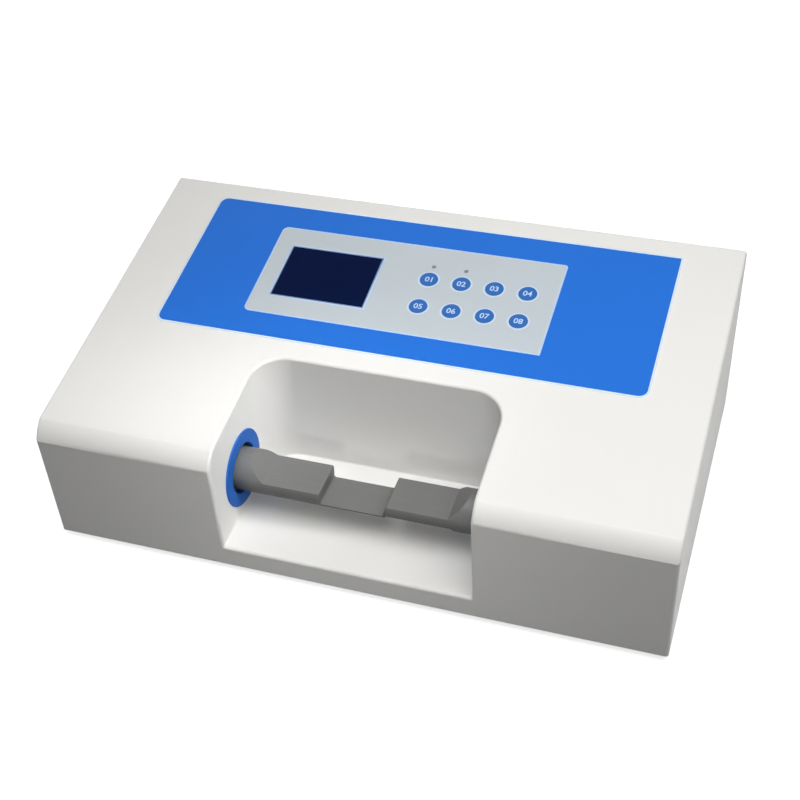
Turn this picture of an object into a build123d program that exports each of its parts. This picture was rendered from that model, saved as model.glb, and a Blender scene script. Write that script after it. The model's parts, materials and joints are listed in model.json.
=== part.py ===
from build123d import *

import os
from math import acos, atan2, cos, pi, radians, sin, sqrt, tan

# Bench tablet hardness tester, in millimetres. +X runs to the operator's right, +Y to the back and
# +Z up. The origin is under the middle of the case, on the surface that the feet stand on.

# ---------------------------------------------------------------- driving dimensions

# Case: a moulded cover with a sloped top, on a steel base plate and four rubber feet
CASE_W = 370.0
CASE_D = 220.0
FRONT_H = 82.6          # front wall, up to where its line meets the sloped top
BACK_H = 118.0
WALL = 3.0
FOOT_H = 6.0
NOSE_R = 11.0           # rounding from the front wall into the top
BACK_R = 2.5
RIM_R = 2.0             # rounding of the end walls' rims
PLATE_T = 2.0

# Test bay: open to the front and the top, with a floor that falls towards the front
BAY_W = 150.0
BAY_BACK_Y = -28.5
BAY_CORNER_R = 20.0
BAY_LIP_Z = 14.25       # floor at the front lip, above the case's lower edge
BAY_FLOOR_TILT = 3.7    # degrees
BAY_FLOOR_R = 1.0
BAY_MOUTH_R = 2.0

# Test line: plunger and anvil share one axis along X
AXIS_Y = -72.0
AXIS_Z = FOOT_H + 43.75
ROD_R = 13.0
TABLET_MAX = 40.0       # gap between the jaw faces when open
TABLET_MIN = 2.0        # gap when closed
JAW_FACE_X = -22.0
JAW_FLAT = 35.0         # length of the flat on top of the plunger's jaw
ANVIL_FLAT = 36.6       # and of the anvil's
JAW_ROOT_R = 1.5        # radius in the milled corners
JAW_FLAT_H = 2.95       # flats, above the axis
TRAY_DEPTH = 5.35       # tray face, below the axis
TRAY_GAP = 0.3          # running gap between the tray and the anvil's tongue
RING_R = 23.6
RING_T = 1.2
RING_HOLE_R = 15.5

# Panel layout: X across, T up the slope from the front edge's line
OVERLAY_X = (-147.5, 148.75)
OVERLAY_T = (96.25, 206.75)
FIELD_X = (-98.0, 85.0)
FIELD_T = (114.0, 188.25)
WINDOW_X = (-85.75, -26.75)
WINDOW_T = (129.75, 172.25)
SHEET_T = 0.5           # thickness of the overlay sheets
KEY_R = 5.5
KEY_COLUMNS = (5.75, 26.05, 46.35, 66.65)
KEY_ROWS = (160.5, 137.75)
KEY_TRAVEL = 0.45
LAMP_T = 171.5
LAMP_R = 1.3

# Drive: a geared motor turns the lead screw, which draws the plunger along
GEAR_MODULE = 1.5
SCREW_TEETH = 36
PINION_TEETH = 18
GEAR_W = 8.0
SCREW_R = 5.0
JOURNAL_R = 4.0
MOTOR_R = 18.5
GUIDE_R = 4.0
GUIDE_Z = 24.0
GUIDE_SEAT = 10.0       # length of the rod inside the bearing block
RUNNING = 0.04          # radial clearance of a running fit
SNUG = 0.02             # radial clearance of a seated fit

# Rear connectors, flush in a shallow recess of the back wall
RECESS_X = (-165.0, -5.0)
RECESS_Z = (26.0, 66.0)
RECESS_DEPTH = 4.0
INLET_X = -136.0
SWITCH_X = -96.0
FUSE_X = -68.0
SERIAL_X = -34.0

# ---------------------------------------------------------------- derived places

PLATE_TOP = FOOT_H + PLATE_T
CASE_SLOPE = atan2(BACK_H - FRONT_H, CASE_D)
PANEL = Plane(
    origin=(0, -CASE_D / 2, FOOT_H + FRONT_H),
    x_dir=(1, 0, 0),
    z_dir=(0, -sin(CASE_SLOPE), cos(CASE_SLOPE)),
)
ANVIL_FACE_X = JAW_FACE_X + TABLET_MAX
TRAVEL = TABLET_MAX - TABLET_MIN
FLAT_Z = AXIS_Z + JAW_FLAT_H
TRAY_Z = AXIS_Z - TRAY_DEPTH
TONGUE_Z = TRAY_Z + TRAY_GAP
MILL_TOP_Z = AXIS_Z + ROD_R + 1
MILL_BOTTOM_Z = AXIS_Z - ROD_R - 1
TRAY_END_X = ANVIL_FACE_X - 2.5
UNDERCUT_X = TRAY_END_X + TRAVEL + 3.0
BAY_WALL_X = BAY_W / 2 + WALL

BLOCK_X = (-97.0, -81.0)
ARM_X = (-142.0, -136.0)
TAIL_X = ARM_X[1]
BRACKET_X = (-160.0, -154.0)
GEAR_X = -176.0
SCREW_END_X = -86.0
MOTOR_Y = AXIS_Y + GEAR_MODULE * (SCREW_TEETH + PINION_TEETH) / 2
MOTOR_BOSS_R = 6.0
MOTOR_SHAFT_R = 3.0
MOTOR_SCREW_R = 1.5
MOTOR_SCREW_GRIP = 5.0  # length of the screws inside the gearhead
BUSH_R = 16.0
BEARING_R = 9.5

ANVIL_END_X = 98.0
CELL_X = (98.0, 116.0)
CELL_W = 24.0
CELL_Z = (PLATE_TOP + 1.0, 67.0)
CELL_BOLT_R = 2.5
CELL_BOLTS = [(y, 16.0 - AXIS_Z) for y in (-6, 6)]
CELL_SEAT_Z = 22.0      # top of the pad that the cell is bolted to
CELL_UPRIGHT_X = (124.0, 130.0)
CELL_BRACKET_END_X = 150.0
ANVIL_BOLT_R = 4.0
ANVIL_BOLT_DEPTH = 14.0  # inside the anvil
STOP_Z = 61.0
STOP_R = 3.0
STOP_GAP = 0.3          # between the overload stop and the cell

BOARD_DEPTH = 9.4       # keypad board's upper face, under the panel's skin
DISPLAY_DEPTH = 8.0     # display board's upper face, under the panel's skin
BOARD_T = 1.6
MAIN_BOARD_Z = 18.0

RECESS_FLOOR_Y = CASE_D / 2 - RECESS_DEPTH
SERVICE_Z = sum(RECESS_Z) / 2

COVER_SCREWS = [(x, y) for x in (-173, 173) for y in (-98, 98)]
FEET = [(x, y) for x in (-158, 158) for y in (-86, 86)]


def middle(span):
    """Middle of a (low, high) pair."""
    return (span[0] + span[1]) / 2


def length(span):
    """Length of a (low, high) pair."""
    return span[1] - span[0]


def panel_centre(span_x, span_t):
    """Centre of a panel rectangle given by its X and T spans."""
    return (middle(span_x), middle(span_t))


def bolt_circle(diameter):
    """Three spots on a circle round the origin, the first one on top."""
    return [
        (diameter / 2 * cos(radians(angle)), diameter / 2 * sin(radians(angle)))
        for angle in (90, 210, 330)
    ]


MOTOR_SCREWS = bolt_circle(31.0)
NUT_SCREWS = bolt_circle(21.0)
WINDOW_AT = panel_centre(WINDOW_X, WINDOW_T)
KEY_SPOTS = [(x, t) for t in KEY_ROWS for x in KEY_COLUMNS]
LAMP_SPOTS = [(x, LAMP_T) for x in KEY_COLUMNS[:2]]
KEYPAD_AT = (middle((KEY_COLUMNS[0], KEY_COLUMNS[-1])), 154.0)
KEYPAD_SIZE = (100.0, 52.0)
KEYPAD_BOSSES = [(KEYPAD_AT[0] + x, KEYPAD_AT[1] + t) for x in (-46, 46) for t in (-22, 22)]
DISPLAY_BOSSES = [(WINDOW_AT[0] + x, WINDOW_AT[1] + t) for x in (-34.5, 34.5) for t in (-25, 25)]


def keep(piece, name):
    """Label a finished piece and write its STEP file."""
    piece.part.label = name
    export_step(piece.part, f"parts/{name}.step")


def skin_z(y, depth=0.0):
    """Height of the sloped top at y, or of a face that lies depth under it."""
    return FOOT_H + FRONT_H + (y + CASE_D / 2) * tan(CASE_SLOPE) - depth / cos(CASE_SLOPE)


def on_axis(x):
    """Plane across the test line at x, centred on the axis, with Y to its right and Z up."""
    return Plane(origin=(x, AXIS_Y, AXIS_Z), x_dir=(0, 1, 0), z_dir=(1, 0, 0))


def on_motor(x):
    """Plane across the motor's axis at x."""
    return Plane(origin=(x, MOTOR_Y, AXIS_Z), x_dir=(0, 1, 0), z_dir=(1, 0, 0))


def on_rear(x):
    """Plane on the floor of the rear recess at x, with its normal to the back and Z up."""
    return Plane(origin=(x, RECESS_FLOOR_Y, SERVICE_Z), x_dir=(-1, 0, 0), z_dir=(0, 1, 0))


def case_outline(inset, nose_r, back_r):
    """End view of the case, drawn inset inside its skin."""
    front = -CASE_D / 2 + inset
    back = CASE_D / 2 - inset
    low = FOOT_H - inset
    with BuildSketch(Plane.YZ) as outline:
        with BuildLine():
            Polyline(
                (front, low), (front, skin_z(front, inset)), (back, skin_z(back, inset)), (back, low),
                close=True,
            )
        make_face()
        fillet(outline.vertices().group_by(Axis.X)[0].sort_by(Axis.Y)[-1], nose_r)
        fillet(outline.vertices().group_by(Axis.X)[-1].sort_by(Axis.Y)[-1], back_r)
    return outline.sketch


def bay_room(grow, floor_r):
    """Room of the test bay, its walls and floor moved outwards by grow and meeting in a floor radius."""
    front = -CASE_D / 2 - 20
    half = BAY_W / 2 + grow
    back = BAY_BACK_Y + grow
    floor = Plane(
        origin=(0, -CASE_D / 2, FOOT_H + BAY_LIP_Z - grow),
        x_dir=(1, 0, 0),
        z_dir=(0, -sin(radians(BAY_FLOOR_TILT)), cos(radians(BAY_FLOOR_TILT))),
    )
    with BuildPart() as room:
        with BuildSketch():
            with BuildLine():
                FilletPolyline(
                    (-half, front), (-half, back), (half, back), (half, front),
                    radius=BAY_CORNER_R + grow,
                )
                Line((half, front), (-half, front))
            make_face()
        extrude(amount=FOOT_H + BACK_H + 20)
        split(bisect_by=floor, keep=Keep.TOP)
        if floor_r:
            floor_rim = room.faces().sort_by(Axis.Z)[0].edges()
            fillet(floor_rim.filter_by(lambda edge: edge.center().Y > front + 1), floor_r)
    return room.part


def on_skin(edge):
    """True for an edge that lies on the case's front wall, nose or sloped top."""
    at = edge.position_at(0.5)
    nose_y = -CASE_D / 2 + NOSE_R
    nose_z = skin_z(nose_y, NOSE_R)
    from_nose = sqrt((at.Y - nose_y) ** 2 + (at.Z - nose_z) ** 2)
    front = abs(at.Y + CASE_D / 2) < 0.01
    top = abs(at.Z - skin_z(at.Y)) < 0.01
    return front or top or abs(from_nose - NOSE_R) < 0.01


os.makedirs("parts", exist_ok=True)

# ---------------------------------------------------------------- case

bay = bay_room(0, BAY_FLOOR_R)
bay_shell = bay_room(WALL, 0)

with BuildPart() as cavity:
    extrude(case_outline(WALL, NOSE_R - WALL, 1.0), amount=CASE_W / 2 - WALL, both=True)
    add(bay_shell, mode=Mode.SUBTRACT)

BOSS_R = 6.0
BOSS_H = 12.0
BOSS_HOLE_R = 1.95
RIB_T = 2.4
PANEL_BOSS_R = 3.0
PANEL_SCREW_R = 1.25
PANEL_SCREW_GRIP = 3.5  # length of a panel screw inside its boss
RING_SPIGOT_R = RING_HOLE_R + 2.5
RECESS_SIZE = (length(RECESS_X), length(RECESS_Z))
INLET_BODY = (27.0, 20.0)
INLET_SCREW_X = 20.0
INLET_HOLE_R = 1.6
SWITCH_BODY = (12.8, 19.4)
FUSE_R = 5.9
SERIAL_BODY = (19.0, 10.4)
SERIAL_SCREW_X = 12.5

with BuildPart() as upper_cover:
    extrude(case_outline(0, NOSE_R, BACK_R), amount=CASE_W / 2, both=True)
    rims = upper_cover.faces().filter_by(Axis.X).edges()
    fillet(rims.filter_by(lambda edge: edge.center().Z > FOOT_H + 1), RIM_R)
    add(bay, mode=Mode.SUBTRACT)
    fillet(upper_cover.edges(Select.LAST).filter_by(on_skin), BAY_MOUTH_R)
    add(cavity.part, mode=Mode.SUBTRACT)
    # corner bosses for the cover screws, tied to the walls by ribs
    with BuildSketch(Plane.XY.offset(PLATE_TOP)):
        with Locations(*COVER_SCREWS):
            Circle(BOSS_R)
        for x, y in COVER_SCREWS:
            to_end = CASE_W / 2 - WALL / 2 - abs(x)
            to_side = CASE_D / 2 - WALL / 2 - abs(y)
            with Locations((x + to_end / 2 * x / abs(x), y)):
                Rectangle(to_end, RIB_T)
            with Locations((x, y + to_side / 2 * y / abs(y))):
                Rectangle(RIB_T, to_side)
    extrude(amount=BOSS_H)
    with BuildSketch(Plane.XY.offset(PLATE_TOP)):
        with Locations(*COVER_SCREWS):
            Circle(BOSS_HOLE_R)
    extrude(amount=BOSS_H - 2, mode=Mode.SUBTRACT)
    # openings of the panel: display, keys and lamps
    with BuildSketch(PANEL):
        with Locations(WINDOW_AT):
            Rectangle(length(WINDOW_X) - 6, length(WINDOW_T) - 6)
        with Locations(*KEY_SPOTS):
            Circle(KEY_R + 0.8)
        with Locations(*LAMP_SPOTS):
            Circle(LAMP_R + 0.4)
    extrude(amount=-WALL - 1, mode=Mode.SUBTRACT)
    # bosses under the panel, for the keypad board and the display board
    for spots, depth in ((KEYPAD_BOSSES, BOARD_DEPTH), (DISPLAY_BOSSES, DISPLAY_DEPTH)):
        with BuildSketch(PANEL.offset(-depth)):
            with Locations(*spots):
                Circle(PANEL_BOSS_R)
        extrude(amount=depth - WALL)
        with BuildSketch(PANEL.offset(-depth)):
            with Locations(*spots):
                Circle(PANEL_SCREW_R)
        extrude(amount=PANEL_SCREW_GRIP + 0.5, mode=Mode.SUBTRACT)
    # holes for the test line through both side walls of the bay
    with BuildSketch(on_axis(-BAY_WALL_X - 1)):
        Circle(RING_SPIGOT_R + 0.1)
    extrude(amount=2 * BAY_WALL_X + 2, mode=Mode.SUBTRACT)
    # recess of the rear connectors, with its own backing wall
    with BuildSketch(on_rear(middle(RECESS_X))):
        Rectangle(RECESS_SIZE[0] + 2 * WALL, RECESS_SIZE[1] + 2 * WALL)
    extrude(amount=-WALL)
    extrude(upper_cover.faces(Select.LAST).sort_by(Axis.Y)[-1], amount=RECESS_DEPTH - WALL)
    with BuildSketch(on_rear(middle(RECESS_X))):
        RectangleRounded(*RECESS_SIZE, radius=3)
    extrude(amount=RECESS_DEPTH, mode=Mode.SUBTRACT)
    with BuildSketch(on_rear(0)):
        with Locations((-INLET_X, 0)):
            Rectangle(INLET_BODY[0] + 0.4, INLET_BODY[1] + 0.4)
        with Locations((-INLET_X - INLET_SCREW_X, 0), (-INLET_X + INLET_SCREW_X, 0)):
            Circle(INLET_HOLE_R)
        with Locations((-SWITCH_X, 0)):
            Rectangle(SWITCH_BODY[0] + 0.4, SWITCH_BODY[1] + 0.4)
        with Locations((-FUSE_X, 0)):
            Circle(FUSE_R + 0.2)
        with Locations((-SERIAL_X, 0)):
            Rectangle(SERIAL_BODY[0] + 0.4, SERIAL_BODY[1] + 0.4)
    extrude(amount=-WALL - 1, mode=Mode.SUBTRACT)
keep(upper_cover, "upper_cover")

# Screws that stand on the base plate: (x, y) of each, by the piece that they hold
BLOCK_SCREWS = [(middle(BLOCK_X), AXIS_Y + y) for y in (-24, 24)]
BRACKET_SCREWS = [(-170, y) for y in (-78, -46, -14)]
CELL_BRACKET_SCREWS = [(140, AXIS_Y + y) for y in (-9, 9)]
TRANSFORMER_AT = (-121.0, 40.0)
STRAP_SCREWS = [(TRANSFORMER_AT[0] + x, TRANSFORMER_AT[1]) for x in (-36, 36)]
STANDOFFS = [(x, y) for x in (-66, 66) for y in (-8, 70)]
FRAME_SCREWS = BLOCK_SCREWS + BRACKET_SCREWS + CELL_BRACKET_SCREWS + STRAP_SCREWS
FRAME_SCREW_R = 1.9
PAN_HEAD = (3.6, 1.9)   # radius and height
HEXAGON_HEAD = (3.9, 2.2)
SHANK_SIDES = 8


def screws(seats, head, radius, side=1, head_sides=0):
    """Screws on seats, each a plane, its spots and the reach of the shanks behind it.

    Heads are round, or have head_sides flats. They stand in front of the plane, or behind it where
    side is -1, and the shanks run the other way.
    """
    with BuildPart() as made:
        for plane, spots, reach in seats:
            with BuildSketch(plane):
                with Locations(*spots):
                    if head_sides:
                        RegularPolygon(head[0], head_sides)
                    else:
                        Circle(head[0])
            extrude(amount=side * head[1])
            with BuildSketch(plane):
                with Locations(*spots):
                    RegularPolygon(radius, SHANK_SIDES)
            extrude(amount=-side * reach)
    return made


with BuildPart() as base_plate:
    with BuildSketch(Plane.XY.offset(FOOT_H)):
        RectangleRounded(CASE_W - 2 * WALL - 1, CASE_D - 2 * WALL - 1, radius=3)
        with Locations(*COVER_SCREWS, *FEET, *FRAME_SCREWS, *STANDOFFS):
            Circle(FRAME_SCREW_R + 0.05, mode=Mode.SUBTRACT)
    extrude(amount=PLATE_T)
keep(base_plate, "base_plate")

FOOT_R = 8.4            # on the bench, from where the foot widens by its taper
FOOT_TAPER = 5.0        # degrees
FOOT_SEAT_Z = 3.0       # seat of the screw's head inside the foot
with BuildPart() as feet:
    with BuildSketch():
        with Locations(*FEET):
            Circle(FOOT_R)
    extrude(amount=FOOT_H, taper=-FOOT_TAPER)
    with BuildSketch():
        with Locations(*FEET):
            Circle(PAN_HEAD[0] + 0.8)
    extrude(amount=FOOT_SEAT_Z, mode=Mode.SUBTRACT)
    with BuildSketch():
        with Locations(*FEET):
            Circle(FRAME_SCREW_R + 0.2)
    extrude(amount=FOOT_H, mode=Mode.SUBTRACT)
keep(feet, "feet")

foot_seat = (Plane.XY.offset(FOOT_SEAT_Z), FEET, PLATE_TOP - FOOT_SEAT_Z)
keep(screws([foot_seat], PAN_HEAD, FRAME_SCREW_R, side=-1), "foot_screws")
cover_seat = (Plane.XY.offset(FOOT_H), COVER_SCREWS, PLATE_T + BOSS_H - 3)
keep(screws([cover_seat], PAN_HEAD, FRAME_SCREW_R, side=-1), "cover_screws")

# ---------------------------------------------------------------- panel


def sheet_outline(span_x, span_t, radii):
    """Four-sided sheet with its own corner radii, from the front left corner anticlockwise."""
    spots = [
        (span_x[0], span_t[0]), (span_x[1], span_t[0]), (span_x[1], span_t[1]), (span_x[0], span_t[1]),
    ]
    with BuildSketch(PANEL) as outline:
        with Locations(panel_centre(span_x, span_t)):
            Rectangle(length(span_x), length(span_t))
        for spot, radius in zip(spots, radii):
            fillet(outline.vertices().sort_by_distance((*spot, 0))[0], radius)
    return outline.sketch


OVERLAY_RADII = (5.0, 5.0, 0.6, 5.0)
FIELD_RADII = (4.0, 0.6, 2.0, 4.0)
SHEET_GAP = 0.05

field_hole = sheet_outline(FIELD_X, FIELD_T, FIELD_RADII)
with BuildPart() as blue_overlay:
    extrude(sheet_outline(OVERLAY_X, OVERLAY_T, OVERLAY_RADII), amount=SHEET_T)
    extrude(field_hole, amount=SHEET_T, mode=Mode.SUBTRACT)
keep(blue_overlay, "blue_overlay")


def shrunk(span, by=SHEET_GAP):
    """A span drawn in by a small gap at both ends."""
    return (span[0] + by, span[1] - by)


with BuildPart() as keypad_field:
    extrude(sheet_outline(shrunk(FIELD_X), shrunk(FIELD_T), FIELD_RADII), amount=SHEET_T)
    with BuildSketch(PANEL):
        with Locations(WINDOW_AT):
            Rectangle(length(WINDOW_X), length(WINDOW_T))
        with Locations(*KEY_SPOTS):
            Circle(KEY_R + 0.12)
        with Locations(*LAMP_SPOTS):
            Circle(LAMP_R + 0.1)
    extrude(amount=SHEET_T, mode=Mode.SUBTRACT)
keep(keypad_field, "keypad_field")

with BuildPart() as display_window:
    with BuildSketch(PANEL):
        with Locations(WINDOW_AT):
            Rectangle(length(shrunk(WINDOW_X)), length(shrunk(WINDOW_T)))
    extrude(amount=SHEET_T + 0.1)
    chamfer(display_window.faces().sort_by(Axis.Z)[-1].edges(), 0.08)
keep(display_window, "display_window")

SCREEN_SIZE = (length(WINDOW_X) - 7, length(WINDOW_T) - 7)
SCREEN_FRAME_SIZE = (62.0, 43.0)
SCREEN_BOARD_SIZE = (76.0, 57.0)
with BuildPart() as display_module:
    with BuildSketch(PANEL.offset(-WALL)):
        with Locations(WINDOW_AT):
            Rectangle(*SCREEN_SIZE)
    extrude(amount=WALL - 0.3)
    with BuildSketch(PANEL.offset(-WALL)):
        with Locations(WINDOW_AT):
            Rectangle(*SCREEN_FRAME_SIZE)
    extrude(amount=WALL - DISPLAY_DEPTH)
    with BuildSketch(PANEL.offset(-DISPLAY_DEPTH)):
        with Locations(WINDOW_AT):
            Rectangle(*SCREEN_BOARD_SIZE)
        with Locations(*DISPLAY_BOSSES):
            Circle(PANEL_SCREW_R + 0.1, mode=Mode.SUBTRACT)
    extrude(amount=-BOARD_T)
keep(display_module, "display_module")

KEY_PROUD = 0.4         # key tops, above the overlay sheet
KEY_FLANGE_R = KEY_R + 0.5
KEY_FLANGE_DEPTH = (0.1, 1.1)   # its two faces, under the panel's skin
STEM_R = 2.2
STEM_DEPTH = 5.4
for number, spot in enumerate(KEY_SPOTS, start=1):
    with BuildPart() as key:
        with BuildSketch(PANEL.offset(-KEY_FLANGE_DEPTH[0])):
            with Locations(spot):
                Circle(KEY_R)
        extrude(amount=KEY_FLANGE_DEPTH[0] + SHEET_T + KEY_PROUD)
        chamfer(key.edges().sort_by(Axis.Z)[-1], 0.15)
        with BuildSketch(PANEL.offset(-KEY_FLANGE_DEPTH[0])):
            with Locations(spot):
                Circle(KEY_FLANGE_R)
        extrude(amount=-length(KEY_FLANGE_DEPTH))
        with BuildSketch(PANEL.offset(-KEY_FLANGE_DEPTH[1])):
            with Locations(spot):
                RegularPolygon(STEM_R, 8)
        extrude(amount=KEY_FLANGE_DEPTH[1] - STEM_DEPTH)
    keep(key, f"key_{number}")

LAMP_DEPTH = 2.0        # lens, down to its collar
with BuildPart() as indicator_lamps:
    with BuildSketch(PANEL.offset(-LAMP_DEPTH)):
        with Locations(*LAMP_SPOTS):
            Circle(LAMP_R)
    extrude(amount=LAMP_DEPTH + SHEET_T + 0.2)
    chamfer(indicator_lamps.faces().sort_by(Axis.Z)[-2:].edges(), 0.3)
    with BuildSketch(PANEL.offset(-LAMP_DEPTH)):
        with Locations(*LAMP_SPOTS):
            Circle(LAMP_R + 0.2)
    extrude(amount=LAMP_DEPTH - BOARD_DEPTH)
keep(indicator_lamps, "indicator_lamps")

with BuildPart() as keypad_board:
    with BuildSketch(PANEL.offset(-BOARD_DEPTH)):
        with Locations(KEYPAD_AT):
            RectangleRounded(*KEYPAD_SIZE, radius=2)
        with Locations(*KEYPAD_BOSSES):
            Circle(PANEL_SCREW_R + 0.1, mode=Mode.SUBTRACT)
    extrude(amount=-BOARD_T)
keep(keypad_board, "keypad_board")

TACT_DEPTH = STEM_DEPTH + KEY_TRAVEL + 0.05
TACT_SIZE = 6.0
TACT_H = 2.6
TACT_BUTTON_R = 1.75
with BuildPart() as tact_switches:
    with BuildSketch(PANEL.offset(-BOARD_DEPTH)):
        with Locations(*KEY_SPOTS):
            Rectangle(TACT_SIZE, TACT_SIZE)
    extrude(amount=TACT_H)
    with BuildSketch(PANEL.offset(TACT_H - BOARD_DEPTH)):
        with Locations(*KEY_SPOTS):
            RegularPolygon(TACT_BUTTON_R, 8)
    extrude(amount=BOARD_DEPTH - TACT_H - TACT_DEPTH)
keep(tact_switches, "tact_switches")

panel_seats = [
    (PANEL.offset(-depth - BOARD_T), spots, BOARD_T + PANEL_SCREW_GRIP)
    for spots, depth in ((KEYPAD_BOSSES, BOARD_DEPTH), (DISPLAY_BOSSES, DISPLAY_DEPTH))
]
PANEL_HEAD = (2.6, 1.5)
keep(screws(panel_seats, PANEL_HEAD, PANEL_SCREW_R - 0.05, -1, 6), "panel_screws")

# ---------------------------------------------------------------- test line


def wall_ring(side):
    """Blue ring round the test line's hole, seated on the bay wall at the given side."""
    face = side * BAY_W / 2
    with BuildPart() as ring:
        with BuildSketch(on_axis(face)):
            Circle(RING_R)
            Circle(RING_HOLE_R, mode=Mode.SUBTRACT)
        extrude(amount=-side * RING_T)
        chamfer(ring.faces().sort_by(Axis.X)[-1 if side < 0 else 0].edges(), 0.3)
        with BuildSketch(on_axis(face)):
            Circle(RING_SPIGOT_R)
            Circle(RING_HOLE_R, mode=Mode.SUBTRACT)
        extrude(amount=side * (WALL + 0.5))
    return ring


keep(wall_ring(-1), "plunger_ring")
keep(wall_ring(1), "anvil_ring")

NUT_HOLE_R = 1.25
NUT_BARREL_R = 8.0
NUT_BARREL_END_X = -124.0
NUT_FLANGE_T = 4.0
SIDE_VIEW = Plane.XZ.offset(-AXIS_Y)

with BuildPart() as plunger:
    with BuildSketch(on_axis(TAIL_X)):
        Circle(ROD_R)
    extrude(amount=TRAY_END_X - TAIL_X)
    chamfer(plunger.edges().filter_by(GeomType.CIRCLE).sort_by(Axis.X)[0], 0.8)
    # flat on top of the jaw, ramp behind it, and the tablet tray in front of its face
    with BuildSketch(SIDE_VIEW) as milling:
        ramp_x = JAW_FACE_X - JAW_FLAT
        with BuildLine():
            Polyline(
                (ramp_x, FLAT_Z), (JAW_FACE_X, FLAT_Z), (JAW_FACE_X, TRAY_Z), (TRAY_END_X + 1, TRAY_Z),
                (TRAY_END_X + 1, MILL_TOP_Z), (ramp_x - (MILL_TOP_Z - FLAT_Z), MILL_TOP_Z),
                close=True,
            )
        make_face()
        fillet(milling.vertices().sort_by_distance((JAW_FACE_X, TRAY_Z, 0))[0], JAW_ROOT_R)
    extrude(amount=ROD_R + 1, both=True, mode=Mode.SUBTRACT)
    # the jaw face's outer corners are broken where a tablet is laid in
    jaw_face = plunger.faces().filter_by(Axis.X).sort_by_distance((JAW_FACE_X, AXIS_Y, AXIS_Z))[0]
    chamfer(jaw_face.edges().sort_by(Axis.Z)[-1], 0.5)
    # seat of the nut's barrel, and room for the lead screw beyond it
    with BuildSketch(on_axis(TAIL_X)):
        Circle(NUT_BARREL_R + RUNNING)
    extrude(amount=NUT_BARREL_END_X + 1 - TAIL_X, mode=Mode.SUBTRACT)
    with BuildSketch(on_axis(TAIL_X)):
        Circle(SCREW_R + 1)
    extrude(amount=SCREW_END_X + 4 - TAIL_X, mode=Mode.SUBTRACT)
    with BuildSketch(on_axis(TAIL_X)):
        with Locations(*NUT_SCREWS):
            Circle(NUT_HOLE_R)
    extrude(amount=9, mode=Mode.SUBTRACT)
keep(plunger, "plunger")

with BuildPart() as anvil:
    with BuildSketch(on_axis(ANVIL_FACE_X)):
        Circle(ROD_R)
    extrude(amount=ANVIL_END_X - ANVIL_FACE_X)
    # flat and ramp on top, like the jaw's
    with BuildSketch(SIDE_VIEW):
        ramp_x = ANVIL_FACE_X + ANVIL_FLAT
        with BuildLine():
            Polyline(
                (ANVIL_FACE_X - 1, FLAT_Z), (ramp_x, FLAT_Z),
                (ramp_x + MILL_TOP_Z - FLAT_Z, MILL_TOP_Z), (ANVIL_FACE_X - 1, MILL_TOP_Z),
                close=True,
            )
        make_face()
    extrude(amount=ROD_R + 1, both=True, mode=Mode.SUBTRACT)
    # the underside is cut away so that the plunger's tray can pass below the tongue
    with BuildSketch(SIDE_VIEW) as relief:
        with BuildLine():
            Polyline(
                (ANVIL_FACE_X - 1, TONGUE_Z), (UNDERCUT_X, TONGUE_Z), (UNDERCUT_X, MILL_BOTTOM_Z),
                (ANVIL_FACE_X - 1, MILL_BOTTOM_Z),
                close=True,
            )
        make_face()
        fillet(relief.vertices().sort_by_distance((UNDERCUT_X, TONGUE_Z, 0))[0], JAW_ROOT_R)
    extrude(amount=ROD_R + 1, both=True, mode=Mode.SUBTRACT)
    anvil_face = anvil.faces().filter_by(Axis.X).sort_by(Axis.X)[0]
    chamfer(anvil_face.edges().sort_by(Axis.Z)[-1], 0.5)
    with BuildSketch(on_axis(ANVIL_END_X)):
        Circle(ANVIL_BOLT_R + 0.05)
    extrude(amount=-ANVIL_BOLT_DEPTH - 2, mode=Mode.SUBTRACT)
keep(anvil, "anvil")

# ---------------------------------------------------------------- plunger bearing and guide

BLOCK_R = 20.0
BLOCK_FOOT_W = 60.0
BLOCK_FOOT_H = 8.0
BLOCK_ROOT_R = 2.0
with BuildPart() as bearing_block:
    with BuildSketch(on_axis(BLOCK_X[0])):
        Circle(BLOCK_R)
        with Locations((0, (PLATE_TOP - AXIS_Z) / 2)):
            Rectangle(2 * BLOCK_R, AXIS_Z - PLATE_TOP)
        with Locations((0, PLATE_TOP + BLOCK_FOOT_H / 2 - AXIS_Z)):
            Rectangle(BLOCK_FOOT_W, BLOCK_FOOT_H)
        Circle(BUSH_R + SNUG, mode=Mode.SUBTRACT)
    extrude(amount=length(BLOCK_X))
    with BuildSketch(on_axis(BLOCK_X[0])):
        with Locations((0, GUIDE_Z - AXIS_Z)):
            Circle(GUIDE_R + SNUG)
    extrude(amount=GUIDE_SEAT + 1, mode=Mode.SUBTRACT)
    with BuildSketch(Plane.XY.offset(PLATE_TOP)):
        with Locations(*BLOCK_SCREWS):
            Circle(FRAME_SCREW_R + 0.2)
    extrude(amount=BLOCK_FOOT_H, mode=Mode.SUBTRACT)
    foot_edges = bearing_block.edges().filter_by(Axis.X).group_by(Axis.Z)[1]
    fillet(foot_edges.group_by(Axis.Y)[0] + foot_edges.group_by(Axis.Y)[-1], BLOCK_ROOT_R)
keep(bearing_block, "bearing_block")

BUSH_FLANGE_T = 1.5
with BuildPart() as plunger_bush:
    with BuildSketch(on_axis(BLOCK_X[0])):
        Circle(BUSH_R)
        Circle(ROD_R + RUNNING, mode=Mode.SUBTRACT)
    extrude(amount=length(BLOCK_X))
    with BuildSketch(on_axis(BLOCK_X[1])):
        Circle(BUSH_R + 2)
        Circle(ROD_R + RUNNING, mode=Mode.SUBTRACT)
    extrude(amount=BUSH_FLANGE_T)
keep(plunger_bush, "plunger_bush")

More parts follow.
